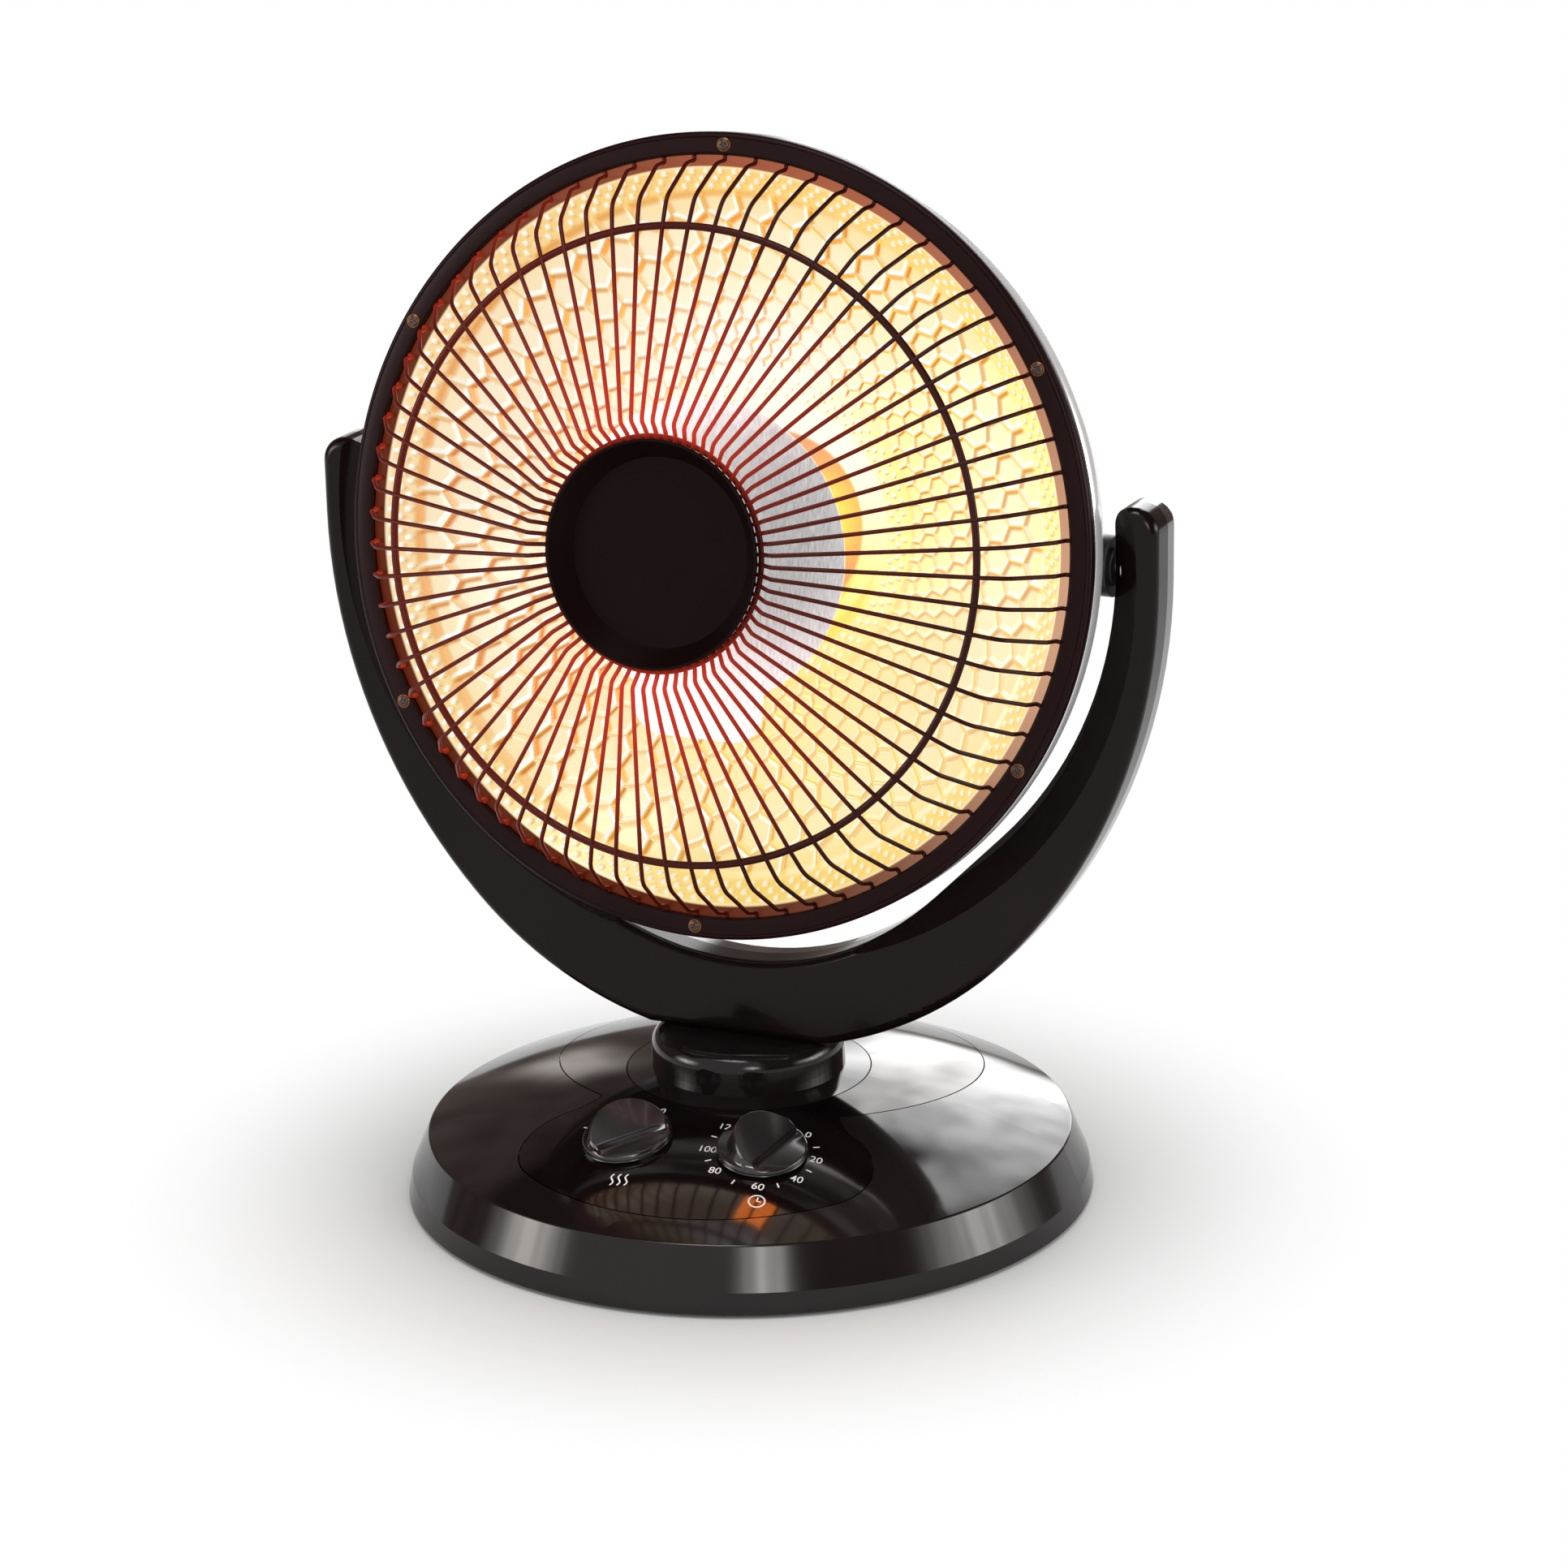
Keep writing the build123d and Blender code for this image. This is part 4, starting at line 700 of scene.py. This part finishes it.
def screwPlace(n):
    # puts a point of screw n on the face of the bezel
    around = fullTurn * n / screwShape["count"]
    turn = math.radians(screwShape["firstTurn"] + screwShape["turnEach"] * n)
    across, up = screwShape["circle"] * math.sin(around), screwShape["circle"] * math.cos(around)

    def onBezel(x, y, h):
        u = x * math.cos(turn) - y * math.sin(turn)
        v = x * math.sin(turn) + y * math.cos(turn)
        return dishPoint((across + u) * mm, (bezelShape["face"] - h) * mm, (up + v) * mm)

    return onBezel


places = [screwPlace(n) for n in range(screwShape["count"])]
around = screwShape["around"]
heads = joinedDiscs(reliefDisc(screwShape["rings"], around, screwHeight, place) for place in places)
seats = joinedDiscs(reliefDisc(screwShape["washerRings"], around, washerHeight, place) for place in places)
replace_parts(meshPiece("bezelScrewHeads", *heads, screwMetal, "dish", "black_screw"), "bezel_screws")
meshPiece("screwWashers", *seats, tintedWasher, "dish", "steel")
print("stage: bezel, rim and screws")


# knobs, all lengths in millimetres

knobShape = {
    "side": 32.5, "ahead": 87.3, "skirt": 21.3, "skirtHeight": 3.6, "skirtDome": 0.5, "foot": 0.9,
    "footHeight": 4.0, "footRound": 2.4,
    "ridgeBack": -6.8, "ridge": 5.7, "climb": 0.5,                  # straight edge and the face behind it
    "crownX": 0.5, "crownY": -8.0, "crown": 19.6, "wall": 3.2,      # round side of the half moon
    "scoop": 2.7, "scoopLength": 2.4, "scoopRim": 1.5,              # hollow in front
    "edge": 0.22, "softEdge": 0.15,                                 # small rounds where faces meet
    "rings": [0.36 * k for k in range(1, 56)] + [20.1, 20.4, 20.7, 20.9, 21.05, 21.18, 21.26, 21.3],
    "around": 192, "turns": {"heat": 36, "timer": 70},
}


def softLeast(a, b, reach):
    # the lower of two heights with a small round where they meet
    return -reach * math.log(math.exp(-a / reach) + math.exp(-b / reach))


def knobHeight(x, y):
    # half-moon grip: a sloped face behind the ridge, a hollow in front of it, a drafted wall behind
    shape = knobShape
    r = math.hypot(x, y)
    share = r / shape["skirt"]
    face = shape["ridge"] + shape["climb"] * (y - shape["ridgeBack"])
    beyond = math.hypot(x - shape["crownX"], y - shape["crownY"]) - shape["crown"]
    wall = face - shape["wall"] * beyond
    rise = math.exp(min((y - shape["ridgeBack"]) / shape["scoopLength"], 3.0))
    front = shape["scoop"] + (shape["ridge"] - shape["scoop"]) * rise
    front += shape["scoopRim"] * (r / (shape["skirt"] - 1.0)) ** 8
    grip = softLeast(softLeast(face, wall, shape["edge"]), front, shape["edge"])
    skirt = shape["skirtHeight"] + shape["skirtDome"] * (1 - share ** 4)
    body = -softLeast(-grip, -skirt, shape["edge"])
    inwards = shape["skirt"] - shape["footRound"]
    if r <= inwards:
        return body
    rounded = math.sqrt(max(1 - ((r - inwards) / shape["footRound"]) ** 2, 0))
    return softLeast(body, shape["foot"] + shape["footHeight"] * rounded, shape["softEdge"])


def knobPlace(side, turn):
    # the axis of a knob stands square on the dome
    radius = basePlace["domeRadius"] / mm
    x0, y0 = side * knobShape["side"], -knobShape["ahead"]
    up = Vector((x0, y0, math.sqrt(radius ** 2 - x0 ** 2 - y0 ** 2))) / radius
    across = (Vector((1, 0, 0)) - up * up.x).normalized()
    back = up.cross(across)
    t = math.radians(turn)
    across, back = across * math.cos(t) + back * math.sin(t), back * math.cos(t) - across * math.sin(t)
    spot = Vector(deckPoint(x0 * mm, -y0 * mm))
    turned = Matrix.Rotation(math.radians(basePlace["turn"]), 3, "Z")
    return lambda x, y, h: tuple(spot + turned @ ((across * x + back * y + up * h) * mm))


for side, name in ((-1, "heat"), (1, "timer")):
    place = knobPlace(side, knobShape["turns"][name])
    grip = reliefDisc(knobShape["rings"], knobShape["around"], knobHeight, place)
    knob = meshPiece(f"{name}Grip", *grip, knobAbs, f"{name}_control", "knob_gloss")
    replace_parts(knob, f"{name}_knob")
print("stage: knobs")


# dial marks: numbers and ticks round the knobs at these angles, clockwise from the back

markShape = {
    "lift": 0.06 * mm, "height": 4.3 * mm, "circle": 25.4 * mm,
    "lineWidth": 0.75 * mm, "tickLength": 3.0 * mm,
    "capShare": 0.7, "bold": 0.004,         # cap height of the letters, how much their edge grows
    "heatSpot": (-27 * mm, -117.6 * mm), "waves": (-3.4, 0.0, 3.4), "waveSwing": 0.9, "waveHeight": 7.5,
    "clockSpot": (40 * mm, -121.4 * mm), "clockRadius": 3.7 * mm, "hands": (2.5 * mm, 1.9 * mm),
}
dialMarks = {
    "timer": {"side": 1,
              "numbers": {"0": 139, "20": 94, "40": 55, "60": 12, "80": -42, "100": -80, "120": -125},
              "ticks": (116, 74, 33, -15, -61, -103)},
    "heat": {"side": -1, "numbers": {"2": -124, "1": -168, "0": 158}, "ticks": (-112,)},
}


def flatMark(name, points, faces):
    # ink on the deck: flat points as (to the right, to the back) of the base, laid on the dome
    laid = [deckPoint(x, -y, markShape["lift"]) for x, y in points]
    return meshPiece(name, laid, faces, whiteInk, "base", "nylon", smooth=False)


def textOutline(words, height):
    curve = bpy.data.curves.new("markText", "FONT")
    curve.body = words
    curve.size = height / markShape["capShare"]
    curve.align_x = "CENTER"
    curve.align_y = "CENTER"
    curve.offset = markShape["bold"] * height
    holder = bpy.data.objects.new("markText", curve)
    bpy.context.scene.collection.objects.link(holder)
    bpy.context.view_layer.update()
    mesh = bpy.data.meshes.new_from_object(holder.evaluated_get(bpy.context.evaluated_depsgraph_get()))
    points = [(v.co.x, v.co.y) for v in mesh.vertices]
    faces = [tuple(p.vertices) for p in mesh.polygons]
    bpy.data.objects.remove(holder)
    bpy.data.meshes.remove(mesh)
    return points, faces


def strip(line, width):
    # a ribbon of ink along a flat line
    points = []
    for i, p in enumerate(line):
        along = np.array(line[min(i + 1, len(line) - 1)]) - np.array(line[max(i - 1, 0)])
        n = np.array([-along[1], along[0]]) / np.linalg.norm(along) * width / 2
        points += [tuple(np.array(p) + n), tuple(np.array(p) - n)]
    return points, [(2 * i, 2 * i + 1, 2 * i + 3, 2 * i + 2) for i in range(len(line) - 1)]


def dialSpot(side, angle):
    t = math.radians(angle)
    across, ahead = knobShape["side"] * mm, knobShape["ahead"] * mm
    return side * across + markShape["circle"] * math.sin(t), -ahead - markShape["circle"] * math.cos(t)


for label, dial in dialMarks.items():
    for words, angle in dial["numbers"].items():
        x, y = dialSpot(dial["side"], angle)
        points, faces = textOutline(words, markShape["height"])
        flatMark(f"{label}Mark{words}", [(x + px, y + py) for px, py in points], faces)
for label, dial in dialMarks.items():
    for index, angle in enumerate(dial["ticks"]):
        x, y = dialSpot(dial["side"], angle)
        t = math.radians(angle)
        alongX, alongY = [k * markShape["tickLength"] / 2 for k in (math.sin(t), -math.cos(t))]
        acrossX, acrossY = [k * markShape["lineWidth"] / 2 for k in (math.cos(t), math.sin(t))]
        corners = [(x + i * alongX + j * acrossX, y + i * alongY + j * acrossY)
                   for i, j in ((-1, -1), (1, -1), (1, 1), (-1, 1))]
        flatMark(f"{label}Tick{index}", corners, [(0, 1, 2, 3)])
# three heat waves and a clock
x, y = markShape["heatSpot"]
for index, shift in enumerate(markShape["waves"]):
    wave = [(x + (shift + markShape["waveSwing"] * math.sin(t * math.pi / 6)) * mm,
             y + (t / 12 - 0.5) * markShape["waveHeight"] * mm) for t in range(13)]
    flatMark(f"heatWave{index}", *strip(wave, markShape["lineWidth"]))
x, y = markShape["clockSpot"]
reach = markShape["clockRadius"]
rim = [(x + reach * math.sin(t * math.pi / 18), y + reach * math.cos(t * math.pi / 18)) for t in range(37)]
flatMark("clockRim", *strip(rim, markShape["lineWidth"]))
hands = [(x, y + markShape["hands"][0]), (x, y), (x + markShape["hands"][1], y)]
flatMark("clockHands", *strip(hands, markShape["lineWidth"]))
print("stage: dial marks printed")


# stage, light and camera

stageLook = {
    # the paper's grey is painted shadow round the base, on top of the lamps' shadow; it fades to plain white
    # between floorStart and floorEnd
    "floor": "#d4d4d3", "floorHalf": 4.0, "fibreMm": 3,
    "floorStart": 0.15, "floorEnd": 0.31,       # the paper turns plain white between these distances
    "seen": "#ffffff", "worldStrength": 0.85,
}


def backgroundRays(tree):
    # 1 for camera, glossy and transmission rays: all three see the pale background as it is
    rays = addNode(tree, "ShaderNodeLightPath")
    two = addNode(tree, "ShaderNodeMath", {"operation": "ADD"},
                  {0: (rays, "Is Camera Ray"), 1: (rays, "Is Glossy Ray")})
    return addNode(tree, "ShaderNodeMath", {"operation": "ADD", "use_clamp": True},
                   {0: (two, 0), 1: (rays, "Is Transmission Ray")})


def stageMesh(name, points, faces, material, glossOnly=False):
    mesh = bpy.data.meshes.new(name)
    mesh.from_pydata([tuple(p) for p in points], [], faces)
    mesh.materials.append(material)
    item = bpy.data.objects.new(name, mesh)
    bpy.context.scene.collection.objects.link(item)
    if glossOnly:
        item.visible_camera = False
        item.visible_diffuse = False
        item.visible_shadow = False
        item.visible_transmission = False
        item.visible_volume_scatter = False
    return item


def buildFloor():
    # uncoated paper sweep: it keeps the soft shadow beside the base, deepened by its grey as painted shadow,
    # and is plain white further out
    material, tree = startMaterial("paleSweepPaper")
    place = addNode(tree, "ShaderNodeTexCoord")
    fibre = addNode(tree, "ShaderNodeTexNoise", {"Scale": patternScale(stageLook["fibreMm"]), "Detail": 3.0},
                    {"Vector": (place, "Object")})
    bump = addNode(tree, "ShaderNodeBump", {"Strength": 0.05, "Distance": 0.1 * mm},
                   {"Height": (fibre, "Fac")})
    paper = addNode(tree, "ShaderNodeBsdfPrincipled",
                    {"Base Color": toLinear(stageLook["floor"]), "Roughness": 0.8},
                    {"Normal": (bump, "Normal")})
    plain = addNode(tree, "ShaderNodeEmission", {"Color": toLinear(stageLook["seen"]), "Strength": 1.0})
    reach = addNode(tree, "ShaderNodeVectorMath", {"operation": "LENGTH"}, {0: (place, "Object")})
    fade = addNode(tree, "ShaderNodeMapRange",
                   {"interpolation_type": "SMOOTHSTEP", "From Min": stageLook["floorStart"],
                    "From Max": stageLook["floorEnd"]}, {"Value": (reach, "Value")})
    share = addNode(tree, "ShaderNodeMath", {"operation": "MULTIPLY"},
                    {0: (fade, "Result"), 1: (backgroundRays(tree), 0)})
    seen = addNode(tree, "ShaderNodeMixShader", links={0: (share, 0), 1: (paper, 0), 2: (plain, 0)})
    half = stageLook["floorHalf"]
    corners = [(-half, -half, 0), (half, -half, 0), (half, half, 0), (-half, half, 0)]
    stageMesh("paleFloor", corners, [(0, 1, 2, 3)], finishMaterial(material, seen))


def buildWorld():
    world = bpy.data.worlds.new("whiteStudio")
    bpy.context.scene.world = world
    world.use_nodes = True
    tree = world.node_tree
    tree.nodes.clear()
    white = toLinear(stageLook["seen"])
    soft = addNode(tree, "ShaderNodeBackground", {"Color": white, "Strength": stageLook["worldStrength"]})
    seen = addNode(tree, "ShaderNodeBackground", {"Color": white, "Strength": 1.0})
    mixed = addNode(tree, "ShaderNodeMixShader",
                    links={0: (backgroundRays(tree), 0), 1: (soft, 0), 2: (seen, 0)})
    addNode(tree, "ShaderNodeOutputWorld", links={"Surface": (mixed, 0)})


# cards and softboxes round the object, seen in the gloss alone: grey cards keep the white room out of the
# black plastic, softboxes draw the bright bands; turn is a share of a turn from straight ahead (-Y) to the
# right (+X), rise is in degrees, soft is the share of the card over which its edge fades
cardShapes = {
    "cardBehindLow": {"turn": (0.39, 0.82), "rise": (-4, 42), "reach": 3.2, "colour": "#8a7c75",
                      "strength": 1.0, "soft": 0.06},
    "cardBehindHigh": {"turn": (0.36, 0.86), "rise": (38, 88), "reach": 3.1, "colour": "#1d1514",
                       "strength": 1.0, "soft": 0.05},
    "cardRight": {"turn": (0.10, 0.43), "rise": (-4, 86), "reach": 3.0, "colour": "#5c5553",
                  "strength": 1.0, "soft": 0.08},
    "cardTop": {"turn": (0.0, 1.0), "rise": (64, 90), "reach": 3.3, "colour": "#2a2422",
                "strength": 1.0, "soft": 0.0},
    "softboxBehind": {"turn": (0.470, 0.558), "rise": (1, 45), "reach": 2.8, "colour": "#ffffff",
                      "strength": 6.0, "soft": 0.12},
    "softboxBehindHigh": {"turn": (0.462, 0.503), "rise": (38, 62), "reach": 2.7, "colour": "#ffffff",
                          "strength": 5.0, "soft": 0.25},
    "softboxRight": {"turn": (0.205, 0.39), "rise": (-2, 32), "reach": 2.8, "colour": "#fffdfa",
                     "strength": 17.0, "soft": 0.6},
    "softboxFront": {"turn": (0.045, 0.112), "rise": (6, 36), "reach": 2.8, "colour": "#fffdfa",
                     "strength": 38.0, "soft": 0.75},
    "softboxLeft": {"turn": (0.795, 0.905), "rise": (-2, 32), "reach": 2.8, "colour": "#fff8f2",
                    "strength": 22.0, "soft": 0.6},
    "softboxAbove": {"turn": (-0.13, 0.08), "rise": (58, 84), "reach": 2.7, "colour": "#ffffff",
                     "strength": 14.0, "soft": 0.3},
    "stripLeft": {"turn": (0.588, 0.612), "rise": (3, 24), "reach": 2.8, "colour": "#fff6f0",
                  "strength": 1.6, "soft": 0.4},
}
clothLook = {
    "steps": 32, "foldMm": 200, "hang": (1.0, 1.0, 0.12), "foldRange": (0.35, 0.65), "shade": (0.6, 1.2)}


def cardCloth(name, card):
    # white cloth over a box: upright folds, so that a mirrored band isn't quite even
    material, tree = startMaterial(name + "Cloth")
    place = addNode(tree, "ShaderNodeTexCoord")
    hang = addNode(tree, "ShaderNodeMapping", {"Scale": clothLook["hang"]}, {"Vector": (place, "Object")})
    fold = addNode(tree, "ShaderNodeTexNoise", {"Scale": patternScale(clothLook["foldMm"]), "Detail": 2.0},
                   {"Vector": (hang, "Vector")})
    low, high = clothLook["foldRange"]
    dim, bright = [k * card["strength"] for k in clothLook["shade"]]
    shade = addNode(tree, "ShaderNodeMapRange",
                    {"From Min": low, "From Max": high, "To Min": dim, "To Max": bright},
                    {"Value": (fold, "Fac")})
    light = addNode(tree, "ShaderNodeEmission", {"Color": toLinear(card["colour"])},
                    {"Strength": (shade, "Result")})
    edge = addNode(tree, "ShaderNodeAttribute", {"attribute_name": "edge"})
    clear = addNode(tree, "ShaderNodeBsdfTransparent")
    shown = addNode(tree, "ShaderNodeMixShader", links={0: (edge, "Fac"), 1: (clear, 0), 2: (light, 0)})
    return finishMaterial(material, shown)


def buildCard(name, card):
    steps = clothLook["steps"]
    i, j = np.meshgrid(np.arange(steps + 1), np.arange(steps + 1), indexing="ij")
    rise = np.radians(card["rise"][0] + (card["rise"][1] - card["rise"][0]) * i / steps)
    turn = fullTurn * (card["turn"][0] + (card["turn"][1] - card["turn"][0]) * j / steps)
    place = (np.cos(rise) * np.sin(turn), -np.cos(rise) * np.cos(turn), np.sin(rise))
    points = card["reach"] * np.stack(place, -1).reshape(-1, 3)
    edge = np.ones(len(points))
    if card["soft"]:
        for k in (i.ravel(), j.ravel()):
            edge = edge * smooth(np.clip(np.minimum(k, steps - k) / steps / card["soft"], 0, 1))
    faces = gridFaces(steps + 1, steps + 1, closed=False)
    item = stageMesh(name, points, faces, cardCloth(name, card), glossOnly=True)
    colourLayer(item.data, "edge", np.stack((edge, edge, edge, np.ones(len(edge))), -1))


lampShapes = {
    "topSoftbox": {"at": (0.2, -0.3, 2.2), "to": (0, 0, 0), "size": 1.6, "power": 9},
    "rightSoftbox": {"at": (1.6, -0.6, 1.0), "to": (0, 0, 0.25), "size": 0.9, "power": 6},
    "leftStrip": {"at": (-1.3, -1.2, 0.5), "to": (0, 0, 0.3), "size": 0.5, "power": 3},
}


def buildLamp(name, lamp):
    data = bpy.data.lights.new(name, "AREA")
    data.energy = lamp["power"]
    data.size = lamp["size"]
    item = bpy.data.objects.new(name, data)
    item.visible_glossy = False
    item.visible_camera = False
    bpy.context.scene.collection.objects.link(item)
    item.location = lamp["at"]
    look = Vector(lamp["to"]) - Vector(lamp["at"])
    item.rotation_euler = look.to_track_quat("-Z", "Y").to_euler()


cameraFit = {
    "lens": 106.83, "sensor": 36.0, "at": (0.8734, -1.8920, 0.8616),
    "azimuth": 24.25, "elevation": 17.62, "roll": -1.07,        # degrees
}


def buildCamera():
    a, e, r = [math.radians(cameraFit[key]) for key in ("azimuth", "elevation", "roll")]
    back = Vector((math.sin(a) * math.cos(e), -math.cos(a) * math.cos(e), math.sin(e)))
    right = Vector((math.cos(a), math.sin(a), 0))
    up = back.cross(right)
    axes = (right * math.cos(r) + up * math.sin(r), up * math.cos(r) - right * math.sin(r), back)
    data = bpy.data.cameras.new("studioCamera")
    data.sensor_width = cameraFit["sensor"]
    data.lens = cameraFit["lens"]
    camera = bpy.data.objects.new("studioCamera", data)
    bpy.context.scene.collection.objects.link(camera)
    turned = Matrix(axes).transposed().to_4x4()
    camera.matrix_world = Matrix.Translation(cameraFit["at"]) @ turned
    bpy.context.scene.camera = camera


buildFloor()
buildWorld()
for cardName, card in cardShapes.items():
    buildCard(cardName, card)
for lampName, lamp in lampShapes.items():
    buildLamp(lampName, lamp)
buildCamera()
bpy.context.scene.view_settings.view_transform = "Standard"
print("stage: room, lamps and camera set")
